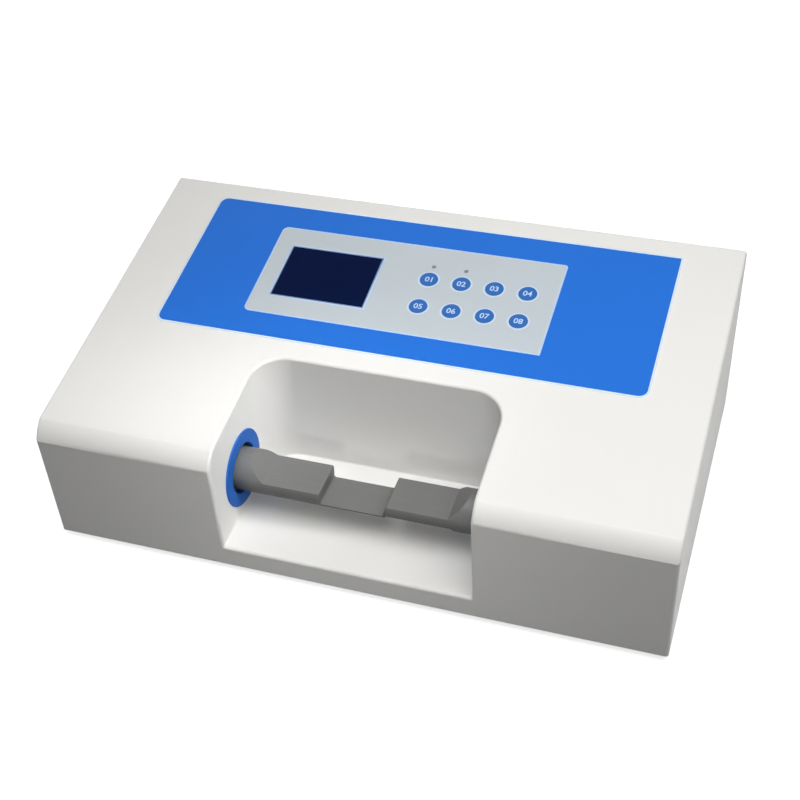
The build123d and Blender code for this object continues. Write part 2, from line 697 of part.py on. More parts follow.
with BuildPart() as drive_nut:
    with BuildSketch(on_axis(ARM_X[0])):
        Circle(ROD_R)
        with Locations(*NUT_SCREWS):
            Circle(NUT_HOLE_R, mode=Mode.SUBTRACT)
    extrude(amount=-NUT_FLANGE_T)
    with BuildSketch(on_axis(ARM_X[0])):
        Circle(NUT_BARREL_R)
    extrude(amount=NUT_BARREL_END_X - ARM_X[0])
    with BuildSketch(on_axis(NUT_BARREL_END_X)):
        Circle(SCREW_R + RUNNING)
    extrude(amount=-60, mode=Mode.SUBTRACT)
keep(drive_nut, "drive_nut")

ARM_W = 16.0
TAB_SIZE = (26.0, 10.0)  # tab that works the limit switches
TAB_Z = GUIDE_Z + 4
with BuildPart() as guide_arm:
    with BuildSketch(on_axis(ARM_X[0])):
        Circle(ROD_R + 1)
        with Locations((0, (GUIDE_Z - AXIS_Z) / 2)):
            SlotCenterToCenter(AXIS_Z - GUIDE_Z, ARM_W, rotation=90)
        with Locations((-TAB_SIZE[0] / 2, TAB_Z - AXIS_Z)):
            Rectangle(*TAB_SIZE)
        Circle(NUT_BARREL_R + RUNNING, mode=Mode.SUBTRACT)
        with Locations((0, GUIDE_Z - AXIS_Z)):
            Circle(GUIDE_R + RUNNING, mode=Mode.SUBTRACT)
        with Locations(*NUT_SCREWS):
            Circle(NUT_HOLE_R, mode=Mode.SUBTRACT)
    extrude(amount=length(ARM_X))
keep(guide_arm, "guide_arm")

nut_seat = on_axis(ARM_X[0] - NUT_FLANGE_T)
NUT_HEAD = (2.3, 1.8)
keep(screws([(nut_seat, NUT_SCREWS, 18)], NUT_HEAD, NUT_HOLE_R - 0.05, -1, 6), "nut_screws")

with BuildPart() as guide_rod:
    with BuildSketch(Plane.YZ.offset(BRACKET_X[0])):
        with Locations((AXIS_Y, GUIDE_Z)):
            Circle(GUIDE_R)
    extrude(amount=BLOCK_X[0] + GUIDE_SEAT - BRACKET_X[0])
    chamfer(guide_rod.edges().filter_by(GeomType.CIRCLE), 0.4)
keep(guide_rod, "guide_rod")

# ---------------------------------------------------------------- drive

COLLAR_R = 7.0
COLLAR_X = (BRACKET_X[1] + 0.5, BRACKET_X[1] + 4)
SCREW_STEPS = (
    (GEAR_X - 2, COLLAR_X[0], JOURNAL_R), (*COLLAR_X, COLLAR_R), (COLLAR_X[1], SCREW_END_X, SCREW_R),
)
with BuildPart() as lead_screw:
    for start, stop, radius in SCREW_STEPS:
        with BuildSketch(on_axis(start)):
            Circle(radius)
        extrude(amount=stop - start)
    chamfer(lead_screw.edges().filter_by(GeomType.CIRCLE).sort_by(Axis.X)[0], 0.6)
    chamfer(lead_screw.edges().filter_by(GeomType.CIRCLE).sort_by(Axis.X)[-1], 0.8)
keep(lead_screw, "lead_screw")

RACE_GROOVE = (5.8, 7.6, 0.6)   # inner and outer radius, depth
with BuildPart() as screw_bearing:
    with BuildSketch(on_axis(BRACKET_X[0])):
        Circle(BEARING_R)
        Circle(JOURNAL_R + RUNNING, mode=Mode.SUBTRACT)
    extrude(amount=length(BRACKET_X))
    # groove between the two races, on both faces
    for face, inwards in ((BRACKET_X[0], 1), (BRACKET_X[1], -1)):
        with BuildSketch(on_axis(face)):
            Circle(RACE_GROOVE[1])
            Circle(RACE_GROOVE[0], mode=Mode.SUBTRACT)
        extrude(amount=inwards * RACE_GROOVE[2], mode=Mode.SUBTRACT)
keep(screw_bearing, "screw_bearing")

PRESSURE_ANGLE = radians(20)
BACKLASH = 0.10         # taken off each tooth at the pitch circle


def polar(radius, angle):
    """Point at a radius and an angle in radians."""
    return (radius * cos(angle), radius * sin(angle))


def gear_outline(plane, teeth, turn):
    """Involute spur gear: each flank is an arc through three points of the true involute."""
    pitch_r = GEAR_MODULE * teeth / 2
    base_r = pitch_r * cos(PRESSURE_ANGLE)
    tip_r = pitch_r + GEAR_MODULE
    root_r = pitch_r - 1.25 * GEAR_MODULE
    involute = tan(PRESSURE_ANGLE) - PRESSURE_ANGLE
    half_tooth = pi / 2 / teeth - BACKLASH / 2 / pitch_r + involute

    def flank(radius):
        """Half the tooth's angle at a radius."""
        roll = acos(min(1, base_r / radius))
        return half_tooth - tan(roll) + roll

    heights = (base_r, (base_r + tip_r) / 2, tip_r)
    with BuildSketch(plane) as outline:
        with BuildLine():
            for tooth in range(teeth):
                middle_angle = radians(turn) + 2 * pi * tooth / teeth
                next_angle = middle_angle + 2 * pi / teeth
                rising = [polar(radius, middle_angle - flank(radius)) for radius in heights]
                falling = [polar(radius, middle_angle + flank(radius)) for radius in heights]
                root_in = polar(root_r, middle_angle - flank(base_r))
                root_out = polar(root_r, middle_angle + flank(base_r))
                Line(root_in, rising[0])
                ThreePointArc(*rising)
                Line(rising[2], falling[2])
                ThreePointArc(*reversed(falling))
                Line(falling[0], root_out)
                Line(root_out, polar(root_r, next_angle - flank(base_r)))
        make_face()
    return outline.sketch


GEAR_HUB_R = 9.0
GEAR_HUB_L = 4.0
GEAR_RIM_R = 22.0       # inside of the rim
GEAR_WEB_CUT = 2.2      # depth of the web below each face
with BuildPart() as screw_gear:
    extrude(gear_outline(on_axis(GEAR_X), SCREW_TEETH, 0), amount=GEAR_W)
    with BuildSketch(on_axis(GEAR_X + GEAR_W)):
        Circle(GEAR_HUB_R)
    extrude(amount=GEAR_HUB_L)
    # web turned thin between hub and rim, with five round holes
    for face, inwards in ((GEAR_X, 1), (GEAR_X + GEAR_W, -1)):
        with BuildSketch(on_axis(face)):
            Circle(GEAR_RIM_R)
            Circle(GEAR_HUB_R, mode=Mode.SUBTRACT)
        extrude(amount=inwards * GEAR_WEB_CUT, mode=Mode.SUBTRACT)
    with BuildSketch(on_axis(GEAR_X)):
        with PolarLocations((GEAR_HUB_R + GEAR_RIM_R) / 2, 5):
            Circle(4)
        Circle(JOURNAL_R + SNUG)
    extrude(amount=GEAR_W + GEAR_HUB_L, mode=Mode.SUBTRACT)
keep(screw_gear, "screw_gear")

PINION_HUB_R = 8.0
PINION_HUB_L = 5.0
with BuildPart() as motor_pinion:
    extrude(gear_outline(on_motor(GEAR_X), PINION_TEETH, 180 / PINION_TEETH), amount=GEAR_W)
    with BuildSketch(on_motor(GEAR_X + GEAR_W)):
        Circle(PINION_HUB_R)
    extrude(amount=PINION_HUB_L)
    with BuildSketch(on_motor(GEAR_X)):
        Circle(MOTOR_SHAFT_R + SNUG)
    extrude(amount=GEAR_W + PINION_HUB_L, mode=Mode.SUBTRACT)
keep(motor_pinion, "motor_pinion")

SHAFT_X = (GEAR_X - 1, BRACKET_X[0] + 11)
with BuildPart() as motor_shaft:
    with BuildSketch(on_motor(SHAFT_X[0])):
        Circle(MOTOR_SHAFT_R)
    extrude(amount=length(SHAFT_X))
    chamfer(motor_shaft.edges().filter_by(GeomType.CIRCLE), 0.4)
keep(motor_shaft, "motor_shaft")

GEARHEAD_END_X = BRACKET_X[1] + 26
MOTOR_END_X = GEARHEAD_END_X + 30
with BuildPart() as gear_motor:
    with BuildSketch(on_motor(BRACKET_X[1])):
        Circle(MOTOR_R)
    extrude(amount=GEARHEAD_END_X - BRACKET_X[1])
    with BuildSketch(on_motor(GEARHEAD_END_X)):
        Circle(MOTOR_R - 1.2)
    extrude(amount=MOTOR_END_X - GEARHEAD_END_X)
    chamfer(gear_motor.edges().filter_by(GeomType.CIRCLE).sort_by(Axis.X)[-1], 1.5)
    # rear boss and the two solder tags
    with BuildSketch(on_motor(MOTOR_END_X)):
        Circle(5)
        with Locations((0, 10), (0, -10)):
            Rectangle(4.8, 0.8)
    extrude(amount=4)
    with BuildSketch(on_motor(BRACKET_X[1])):
        Circle(MOTOR_BOSS_R)
    extrude(amount=-length(BRACKET_X))
    with BuildSketch(on_motor(BRACKET_X[0])):
        Circle(MOTOR_SHAFT_R + RUNNING)
    extrude(amount=SHAFT_X[1] + 2 - BRACKET_X[0], mode=Mode.SUBTRACT)
    with BuildSketch(on_motor(BRACKET_X[1])):
        with Locations(*MOTOR_SCREWS):
            Circle(MOTOR_SCREW_R + 0.05)
    extrude(amount=MOTOR_SCREW_GRIP + 1, mode=Mode.SUBTRACT)
keep(gear_motor, "gear_motor")

motor_seat = (on_motor(BRACKET_X[0]), MOTOR_SCREWS, length(BRACKET_X) + MOTOR_SCREW_GRIP)
MOTOR_HEAD = (3.0, 2.2)
keep(screws([motor_seat], MOTOR_HEAD, MOTOR_SCREW_R, -1, 6), "motor_screws")

BRACKET_Y = (-99.0, MOTOR_Y + 23)
BRACKET_TOP_Z = AXIS_Z + 26
BRACKET_FOOT_H = 4.0
BRACKET_FOOT_W = 18.0
BRACKET_FOOT_Y = (-88.0, BRACKET_Y[1])
with BuildPart() as drive_bracket:
    with BuildSketch(Plane.YZ.offset(BRACKET_X[0])) as bracket_plate:
        with Locations((middle(BRACKET_Y), (PLATE_TOP + BRACKET_TOP_Z) / 2)):
            Rectangle(length(BRACKET_Y), BRACKET_TOP_Z - PLATE_TOP)
        fillet(bracket_plate.vertices().group_by(Axis.Y)[-1], 10)
        with Locations((AXIS_Y, AXIS_Z)):
            Circle(BEARING_R + SNUG, mode=Mode.SUBTRACT)
        with Locations((AXIS_Y, GUIDE_Z)):
            Circle(GUIDE_R + SNUG, mode=Mode.SUBTRACT)
        with Locations((MOTOR_Y, AXIS_Z)):
            Circle(MOTOR_BOSS_R + 0.05, mode=Mode.SUBTRACT)
            with Locations(*MOTOR_SCREWS):
                Circle(MOTOR_SCREW_R + 0.1, mode=Mode.SUBTRACT)
    extrude(amount=length(BRACKET_X))
    # foot, turned out under the gears
    with BuildSketch(Plane.XY.offset(PLATE_TOP)):
        with Locations((BRACKET_X[0] - BRACKET_FOOT_W / 2, middle(BRACKET_FOOT_Y))):
            Rectangle(BRACKET_FOOT_W, length(BRACKET_FOOT_Y))
        with Locations(*BRACKET_SCREWS):
            Circle(FRAME_SCREW_R + 0.2, mode=Mode.SUBTRACT)
    extrude(amount=BRACKET_FOOT_H)
keep(drive_bracket, "drive_bracket")

LIMIT_Y = -95.2         # middle of the limit switches
LIMIT_Z = PLATE_TOP + 11
LIMIT_SIZE = (10.0, 6.4, 20.0)
LIMIT_BUTTON = (3.0, 2.4, 1.6)

with BuildPart() as limit_switches:
    # one snap-action switch for each end of the travel, with its button towards the arm's tab
    for face_x, side in ((BRACKET_X[1], 1), (BLOCK_X[0] + 11, -1)):
        with BuildSketch(Plane.XY.offset(LIMIT_Z)):
            with Locations((face_x + side * LIMIT_SIZE[0] / 2, LIMIT_Y)):
                Rectangle(*LIMIT_SIZE[:2])
        extrude(amount=LIMIT_SIZE[2])
        with BuildSketch(Plane.YZ.offset(face_x + side * LIMIT_SIZE[0])):
            with Locations((LIMIT_Y, TAB_Z)):
                Rectangle(*LIMIT_BUTTON[:2])
        extrude(amount=side * LIMIT_BUTTON[2])
keep(limit_switches, "limit_switches")

# ---------------------------------------------------------------- force sensor

EYE_Z = 33.0            # middle of the load cell's thinned section
EYE_R = 7.0
EYE_APART = 6.0         # each eye's centre, above or below the middle
with BuildPart() as load_cell:
    with BuildSketch(SIDE_VIEW):
        with Locations((middle(CELL_X), middle(CELL_Z))):
            Rectangle(length(CELL_X), length(CELL_Z))
        # two joined round eyes leave thin flexing walls for the strain gauges
        with Locations((middle(CELL_X), EYE_Z - EYE_APART), (middle(CELL_X), EYE_Z + EYE_APART)):
            Circle(EYE_R, mode=Mode.SUBTRACT)
        with Locations((middle(CELL_X), EYE_Z)):
            Rectangle(5, 10, mode=Mode.SUBTRACT)
    extrude(amount=CELL_W / 2, both=True)
    with BuildSketch(on_axis(CELL_X[0])):
        Circle(ANVIL_BOLT_R + 0.1)
        with Locations(*CELL_BOLTS):
            Circle(CELL_BOLT_R + 0.1)
    extrude(amount=length(CELL_X), mode=Mode.SUBTRACT)
keep(load_cell, "load_cell")

CELL_FOOT_H = 6.0
CELL_FOOT_TOP = PLATE_TOP + CELL_FOOT_H
GUSSET_TOP_Z = 52.0
with BuildPart() as cell_bracket:
    with BuildSketch(SIDE_VIEW):
        with BuildLine():
            Polyline(
                (CELL_X[1], PLATE_TOP), (CELL_BRACKET_END_X, PLATE_TOP), (CELL_BRACKET_END_X, CELL_FOOT_TOP),
                (CELL_UPRIGHT_X[1], CELL_FOOT_TOP), (CELL_UPRIGHT_X[1], CELL_Z[1]),
                (CELL_UPRIGHT_X[0], CELL_Z[1]), (CELL_UPRIGHT_X[0], CELL_SEAT_Z), (CELL_X[1], CELL_SEAT_Z),
                close=True,
            )
        make_face()
    extrude(amount=CELL_W / 2 + 2, both=True)
    # gusset between the foot and the upright
    with BuildSketch(SIDE_VIEW):
        with BuildLine():
            Polyline(
                (CELL_UPRIGHT_X[1], CELL_FOOT_TOP), (CELL_BRACKET_END_X - 3, CELL_FOOT_TOP),
                (CELL_UPRIGHT_X[1], GUSSET_TOP_Z),
                close=True,
            )
        make_face()
    extrude(amount=2, both=True)
    with BuildSketch(on_axis(CELL_X[1])):
        with Locations(*CELL_BOLTS):
            Circle(CELL_BOLT_R + 0.05)
    extrude(amount=12, mode=Mode.SUBTRACT)
    with BuildSketch(on_axis(CELL_UPRIGHT_X[0])):
        with Locations((0, STOP_Z - AXIS_Z)):
            Circle(STOP_R + RUNNING)
    extrude(amount=length(CELL_UPRIGHT_X), mode=Mode.SUBTRACT)
    with BuildSketch(Plane.XY.offset(PLATE_TOP)):
        with Locations(*CELL_BRACKET_SCREWS):
            Circle(FRAME_SCREW_R + 0.2)
    extrude(amount=CELL_FOOT_H, mode=Mode.SUBTRACT)
keep(cell_bracket, "cell_bracket")

with BuildPart() as cell_bolts:
    # two bolts clamp the cell to its bracket, and one through its free end holds the anvil
    clamp_seat = (on_axis(CELL_X[0]), CELL_BOLTS, length(CELL_X) + 10)
    add(screws([clamp_seat], (4.4, 4.0), CELL_BOLT_R, -1, 6).part)
    anvil_seat = (on_axis(CELL_X[1]), [(0, 0)], length(CELL_X) + ANVIL_BOLT_DEPTH)
    add(screws([anvil_seat], (6.5, 5.0), ANVIL_BOLT_R, head_sides=6).part)
keep(cell_bolts, "cell_bolts")

with BuildPart() as overload_stop:
    stop_at = Plane(origin=(CELL_X[1] + STOP_GAP, AXIS_Y, STOP_Z), x_dir=(0, 1, 0), z_dir=(1, 0, 0))
    with BuildSketch(stop_at):
        Circle(STOP_R)
    extrude(amount=24)
    # lock nut behind the bracket
    with BuildSketch(stop_at.offset(CELL_UPRIGHT_X[1] - CELL_X[1] - STOP_GAP)):
        RegularPolygon(5.5, 6)
    extrude(amount=3.5)
keep(overload_stop, "overload_stop")

# ---------------------------------------------------------------- electronics

MAIN_BOARD_AT = (0.0, 31.0)
MAIN_BOARD_SIZE = (144.0, 90.0)
with BuildPart() as main_board:
    with BuildSketch(Plane.XY.offset(MAIN_BOARD_Z)):
        with Locations(MAIN_BOARD_AT):
            RectangleRounded(*MAIN_BOARD_SIZE, radius=2)
        with Locations(*STANDOFFS):
            Circle(FRAME_SCREW_R + 0.1, mode=Mode.SUBTRACT)
    extrude(amount=BOARD_T)
keep(main_board, "main_board")

BOARD_TOP = MAIN_BOARD_Z + BOARD_T
BLOCKS = (  # size in plan, height and spots of the box-shaped parts
    ((20, 20), 2.2, [(-8, 24)]),
    ((14, 9), 2.2, [(24, 20), (24, 36)]),
    ((16, 7), 9.0, [(x, -6) for x in (-28, -4, 20, 44)]),
    ((20, 8), 9.0, [(10, 68), (40, 68)]),
)
CANS = ((8, [(-52, 18), (-52, 38)]), (5, [(-32, 62)]))   # radius and spots of the capacitors
CAN_H = 20.0
SINK_AT = (54.0, 32.0)
SINK_SIZE = (22.0, 26.0, 16.0)
with BuildPart() as board_parts:
    for size, height, spots in BLOCKS:
        with BuildSketch(Plane.XY.offset(BOARD_TOP)):
            with Locations(*spots):
                Rectangle(*size)
        extrude(amount=height)
    with BuildSketch(Plane.XY.offset(BOARD_TOP)):
        for radius, spots in CANS:
            with Locations(*spots):
                Circle(radius)
    extrude(amount=CAN_H)
    # finned heat sink of the motor driver
    with BuildSketch(Plane.XY.offset(BOARD_TOP)):
        with Locations(SINK_AT):
            Rectangle(*SINK_SIZE[:2])
            with GridLocations(0, 5, 1, 5):
                Rectangle(SINK_SIZE[0] - 2, 3, mode=Mode.SUBTRACT)
    extrude(amount=SINK_SIZE[2])
keep(board_parts, "board_parts")

with BuildPart() as board_standoffs:
    with BuildSketch(Plane.XY.offset(PLATE_TOP)):
        with Locations(*STANDOFFS):
            RegularPolygon(3.6, 6)
            Circle(FRAME_SCREW_R + SNUG, mode=Mode.SUBTRACT)
    extrude(amount=MAIN_BOARD_Z - PLATE_TOP)
keep(board_standoffs, "board_standoffs")
board_seat = (Plane.XY.offset(BOARD_TOP), STANDOFFS, BOARD_TOP - FOOT_H - 0.5)
keep(screws([board_seat], PAN_HEAD, FRAME_SCREW_R), "board_screws")

CORE_W = 57.0
CORE_H = 48.0
CORE_T = 22.0
LIMB_W = 19.0
SLOT_W = 9.5
SLOT_H = 28.5
STRAP_T = 1.5
CORE_MID_Z = PLATE_TOP + STRAP_T + CORE_H / 2
with BuildPart() as transformer_core:
    with BuildSketch(Plane.XZ.offset(-TRANSFORMER_AT[1])):
        with Locations((TRANSFORMER_AT[0], CORE_MID_Z)):
            Rectangle(CORE_W, CORE_H)
            with GridLocations(LIMB_W + SLOT_W, 0, 2, 1):
                Rectangle(SLOT_W, SLOT_H, mode=Mode.SUBTRACT)
    extrude(amount=CORE_T / 2, both=True)
keep(transformer_core, "transformer_core")

with BuildPart() as transformer_coil:
    with BuildSketch(Plane.XY.offset(CORE_MID_Z - SLOT_H / 2 + 0.3)):
        with Locations(TRANSFORMER_AT):
            RectangleRounded(LIMB_W + 2 * SLOT_W - 0.6, CORE_T + 2 * SLOT_W - 2, radius=6)
            Rectangle(LIMB_W + 0.4, CORE_T + 0.4, mode=Mode.SUBTRACT)
    extrude(amount=SLOT_H - 0.6)
keep(transformer_coil, "transformer_coil")

STRAP_HALF = CORE_W / 2 + 0.2
STRAP_FOOT = 12.0
STRAP_TOP = PLATE_TOP + STRAP_T + CORE_H + 0.2
with BuildPart() as transformer_strap:
    # a bent strip: foot, side, top, side and foot, with a plinth strip under the core
    with BuildSketch(Plane.XZ.offset(-TRANSFORMER_AT[1])):
        x = TRANSFORMER_AT[0]
        side = STRAP_HALF + STRAP_T
        foot = STRAP_HALF + STRAP_FOOT
        with BuildLine():
            Polyline(
                (x - foot, PLATE_TOP), (x + foot, PLATE_TOP),
                (x + foot, PLATE_TOP + STRAP_T), (x + side, PLATE_TOP + STRAP_T),
                (x + side, STRAP_TOP + STRAP_T), (x - side, STRAP_TOP + STRAP_T),
                (x - side, PLATE_TOP + STRAP_T), (x - foot, PLATE_TOP + STRAP_T),
                close=True,
            )
        make_face()
        with Locations((x, (PLATE_TOP + STRAP_T + STRAP_TOP) / 2)):
            Rectangle(2 * STRAP_HALF, STRAP_TOP - PLATE_TOP - STRAP_T, mode=Mode.SUBTRACT)
    extrude(amount=7, both=True)
    with BuildSketch(Plane.XY.offset(PLATE_TOP)):
        with Locations(*STRAP_SCREWS):
            Circle(FRAME_SCREW_R + 0.2)
    extrude(amount=STRAP_T, mode=Mode.SUBTRACT)
keep(transformer_strap, "transformer_strap")

SEAT_HEIGHTS = (
    (BLOCK_SCREWS, BLOCK_FOOT_H), (BRACKET_SCREWS, BRACKET_FOOT_H),
    (CELL_BRACKET_SCREWS, CELL_FOOT_H), (STRAP_SCREWS, STRAP_T),
)
frame_seats = [
    (Plane.XY.offset(PLATE_TOP + height), spots, height + PLATE_T - 0.5) for spots, height in SEAT_HEIGHTS
]
frame_screws = screws(frame_seats, HEXAGON_HEAD, FRAME_SCREW_R, head_sides=6)
keep(frame_screws, "frame_screws")

# ---------------------------------------------------------------- rear connectors

SOCKET_SIZE = (24.2, 16.6)
SOCKET_DEPTH = 17.0
PIN_LENGTH = 11.0
INLET_FLANGE = (49.0, 24.0)
INLET_FLANGE_T = 2.0
INLET_DEPTH = SOCKET_DEPTH + 4 - INLET_FLANGE_T
TAG_SIZE = (4.8, 0.8)
TAG_LENGTH = 8.0
with BuildPart() as power_inlet:
    with BuildSketch(on_rear(INLET_X)):
        RectangleRounded(*INLET_FLANGE, radius=4)
        with Locations((-INLET_SCREW_X, 0), (INLET_SCREW_X, 0)):
            Circle(INLET_HOLE_R, mode=Mode.SUBTRACT)
    extrude(amount=INLET_FLANGE_T)
    with BuildSketch(on_rear(INLET_X)):
        Rectangle(*INLET_BODY)
    extrude(amount=-INLET_DEPTH)
    # socket with two cut upper corners
    with BuildSketch(on_rear(INLET_X).offset(INLET_FLANGE_T)) as socket:
        Rectangle(*SOCKET_SIZE)
        chamfer(socket.vertices().group_by(Axis.Y)[-1], 4)
    extrude(amount=-SOCKET_DEPTH, mode=Mode.SUBTRACT)
    with BuildSketch(on_rear(INLET_X).offset(INLET_FLANGE_T - SOCKET_DEPTH)):
        with Locations((-7, -2), (7, -2), (0, 2)):
            Rectangle(2, 4)
    extrude(amount=PIN_LENGTH)
    with BuildSketch(on_rear(INLET_X).offset(-INLET_DEPTH)):
        with Locations((-8, -3), (8, -3), (0, 5)):
            Rectangle(*TAG_SIZE)
    extrude(amount=-TAG_LENGTH)
keep(power_inlet, "power_inlet")

INLET_SCREWS = [(-INLET_SCREW_X, 0), (INLET_SCREW_X, 0)]
inlet_seat = (on_rear(INLET_X).offset(INLET_FLANGE_T), INLET_SCREWS, 10)
INLET_HEAD = (2.7, 1.6)
with BuildPart() as inlet_screws:
    add(screws([inlet_seat], INLET_HEAD, INLET_HOLE_R - 0.1).part)
    # nuts behind the backing wall
    with BuildSketch(on_rear(INLET_X).offset(-WALL)):
        with Locations(*INLET_SCREWS):
            RegularPolygon(3.2, 6)
    extrude(amount=-2.4)
keep(inlet_screws, "inlet_screws")

ROCKER_R = 8.6
ROCKER_W = 10.6
ROCKER_THROW = 20.0     # degrees
ROCKER_PIVOT = -1.5     # pivot, in front of the recess floor
ROCKER_FACE = 2.5       # pressed face, above the pivot
PIVOT_PIN_R = 1.5
SWITCH_FLANGE = (15.0, 21.4)
SWITCH_FLANGE_T = 1.5
SWITCH_DEPTH = 16.0
WELL_SIZE = (11.0, 18.0)
WELL_DEPTH = 13.0
with BuildPart() as power_switch:
    with BuildSketch(on_rear(SWITCH_X)):
        RectangleRounded(*SWITCH_FLANGE, radius=1)
    extrude(amount=SWITCH_FLANGE_T)
    with BuildSketch(on_rear(SWITCH_X)):
        Rectangle(*SWITCH_BODY)
    extrude(amount=-SWITCH_DEPTH)
    with BuildSketch(on_rear(SWITCH_X).offset(SWITCH_FLANGE_T)):
        Rectangle(*WELL_SIZE)
    extrude(amount=-WELL_DEPTH, mode=Mode.SUBTRACT)
    pivot_line = Plane(
        origin=(SWITCH_X - 10, RECESS_FLOOR_Y + ROCKER_PIVOT, SERVICE_Z), x_dir=(0, 1, 0), z_dir=(1, 0, 0)
    )
    with BuildSketch(pivot_line):
        Circle(PIVOT_PIN_R + RUNNING)
    extrude(amount=20, mode=Mode.SUBTRACT)
    with BuildSketch(on_rear(SWITCH_X).offset(-SWITCH_DEPTH)):
        with Locations((0, -6), (0, 0), (0, 6)):
            Rectangle(*TAG_SIZE)
    extrude(amount=-TAG_LENGTH)
keep(power_switch, "power_switch")

with BuildPart() as switch_rocker:
    pivot = Plane(
        origin=(SWITCH_X, RECESS_FLOOR_Y + ROCKER_PIVOT, SERVICE_Z), x_dir=(0, 1, 0), z_dir=(1, 0, 0)
    )
    raised = ROCKER_FACE + 12 * tan(radians(ROCKER_THROW))
    with BuildSketch(pivot):
        Circle(ROCKER_R)
        # the upper face is pressed in flush, the lower one stands out by the throw
        with BuildLine():
            Polyline(
                (-5, -12), (raised, -12), (ROCKER_FACE, 0), (ROCKER_FACE, 12), (-5, 12),
                close=True,
            )
        make_face(mode=Mode.INTERSECT)
    extrude(amount=ROCKER_W / 2, both=True)
    with BuildSketch(pivot):
        Circle(PIVOT_PIN_R)
    extrude(amount=SWITCH_BODY[0] / 2 - 0.1, both=True)
keep(switch_rocker, "switch_rocker")

FUSE_FLANGE_T = 1.8
FUSE_CAP_H = 2.0
with BuildPart() as fuse_holder:
    with BuildSketch(on_rear(FUSE_X)):
        Circle(FUSE_R + 1.7)
    extrude(amount=FUSE_FLANGE_T)
    with BuildSketch(on_rear(FUSE_X).offset(FUSE_FLANGE_T)):
        Circle(FUSE_R)
    extrude(amount=FUSE_CAP_H)
    chamfer(fuse_holder.edges().sort_by(Axis.Y)[-1], 0.4)
    # screwdriver slot of the cap
    with BuildSketch(on_rear(FUSE_X).offset(FUSE_FLANGE_T + FUSE_CAP_H)):
        Rectangle(8, 1.4)
    extrude(amount=-1, mode=Mode.SUBTRACT)
    with BuildSketch(on_rear(FUSE_X)):
        Circle(FUSE_R)
    extrude(amount=-22)
keep(fuse_holder, "fuse_holder")

SERIAL_FLANGE = (31.0, 12.6)
SERIAL_FLANGE_T = 1.0
with BuildPart() as serial_port:
    with BuildSketch(on_rear(SERIAL_X)):
        RectangleRounded(*SERIAL_FLANGE, radius=1.5)
    extrude(amount=SERIAL_FLANGE_T)
    with BuildSketch(on_rear(SERIAL_X)):
        Rectangle(*SERIAL_BODY)
    extrude(amount=-9)
    # D-shaped shell
    with BuildSketch(on_rear(SERIAL_X).offset(SERIAL_FLANGE_T)) as shell:
        Trapezoid(17, 8, 80, rotation=180)
        fillet(shell.vertices(), 1.8)
    extrude(amount=2.6)
    # hexagonal posts that take the plug's screws
    with BuildSketch(on_rear(SERIAL_X).offset(SERIAL_FLANGE_T)):
        with Locations((-SERIAL_SCREW_X, 0), (SERIAL_SCREW_X, 0)):
            RegularPolygon(2.7, 6)
    extrude(amount=2.4)
keep(serial_port, "serial_port")
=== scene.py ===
import json
import math

import bmesh
import bpy
from bpy.props import FloatProperty, FloatVectorProperty, PointerProperty
from mathutils import Matrix, Vector
from mathutils.geometry import convex_hull_2d

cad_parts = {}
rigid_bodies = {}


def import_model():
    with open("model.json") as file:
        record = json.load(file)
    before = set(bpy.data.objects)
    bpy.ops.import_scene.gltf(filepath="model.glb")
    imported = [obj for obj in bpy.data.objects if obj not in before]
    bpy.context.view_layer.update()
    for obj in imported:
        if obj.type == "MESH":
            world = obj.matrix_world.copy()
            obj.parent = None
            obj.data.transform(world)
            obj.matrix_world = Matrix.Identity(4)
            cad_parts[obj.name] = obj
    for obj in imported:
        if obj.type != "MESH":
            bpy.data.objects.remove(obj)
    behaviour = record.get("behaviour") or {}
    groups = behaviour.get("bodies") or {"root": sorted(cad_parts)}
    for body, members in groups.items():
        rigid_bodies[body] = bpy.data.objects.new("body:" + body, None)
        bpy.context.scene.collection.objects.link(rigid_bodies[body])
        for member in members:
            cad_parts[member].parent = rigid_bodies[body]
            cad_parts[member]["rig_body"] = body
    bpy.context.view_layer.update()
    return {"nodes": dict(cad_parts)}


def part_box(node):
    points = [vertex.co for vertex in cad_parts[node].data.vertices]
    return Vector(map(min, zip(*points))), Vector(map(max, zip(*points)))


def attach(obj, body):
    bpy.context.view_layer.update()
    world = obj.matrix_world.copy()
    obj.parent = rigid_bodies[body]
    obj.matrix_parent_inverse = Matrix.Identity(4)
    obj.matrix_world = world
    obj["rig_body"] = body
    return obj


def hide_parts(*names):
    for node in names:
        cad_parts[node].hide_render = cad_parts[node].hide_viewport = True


bl_info = {
    "name": "Tablet hardness tester",
    "version": (1, 0, 0),
    "blender": (4, 5, 0),
    "location": "View3D > Sidebar > Tester",
    "description": "Finishes, printing, threads and screws of a bench tablet hardness tester",
    "category": "Object",
}

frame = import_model()

MM = 0.001
UP = Vector((0, 0, 1))
ALONG_X = Vector((1, 0, 0))
TO_BACK = Vector((0, 1, 0))

SMOOTH_BELOW = math.radians(32)     # edges that turn less than this are shaded smooth
BROKEN_ABOVE = math.radians(34)     # edges that turn more than this are broken
FLAT_BELOW = math.radians(0.05)     # faces that turn less than this are joined
MERGED_BELOW = 0.0005 * MM          # corners that are nearer than this are one
LOOKS_ALONG = 0.9                   # least cosine between an axis and a face that looks along it

KEYS = [f"key_{number}" for number in range(1, 9)]

# The camera: where it stands and looks, from the edges of the case in the photograph
CAMERA_PLACE = (0.21811, -0.59135, 0.59775)
CAMERA_AZIMUTH = math.radians(-21.40)
CAMERA_ELEVATION = math.radians(42.58)
CAMERA_ROLL = math.radians(-4.58)
CAMERA_LENS = 61.55
CAMERA_SHIFT = (0.0213, 0.0618)
CAMERA_CLIP = (0.01, 50)


# ---------------------------------------------------------------- colours and settings


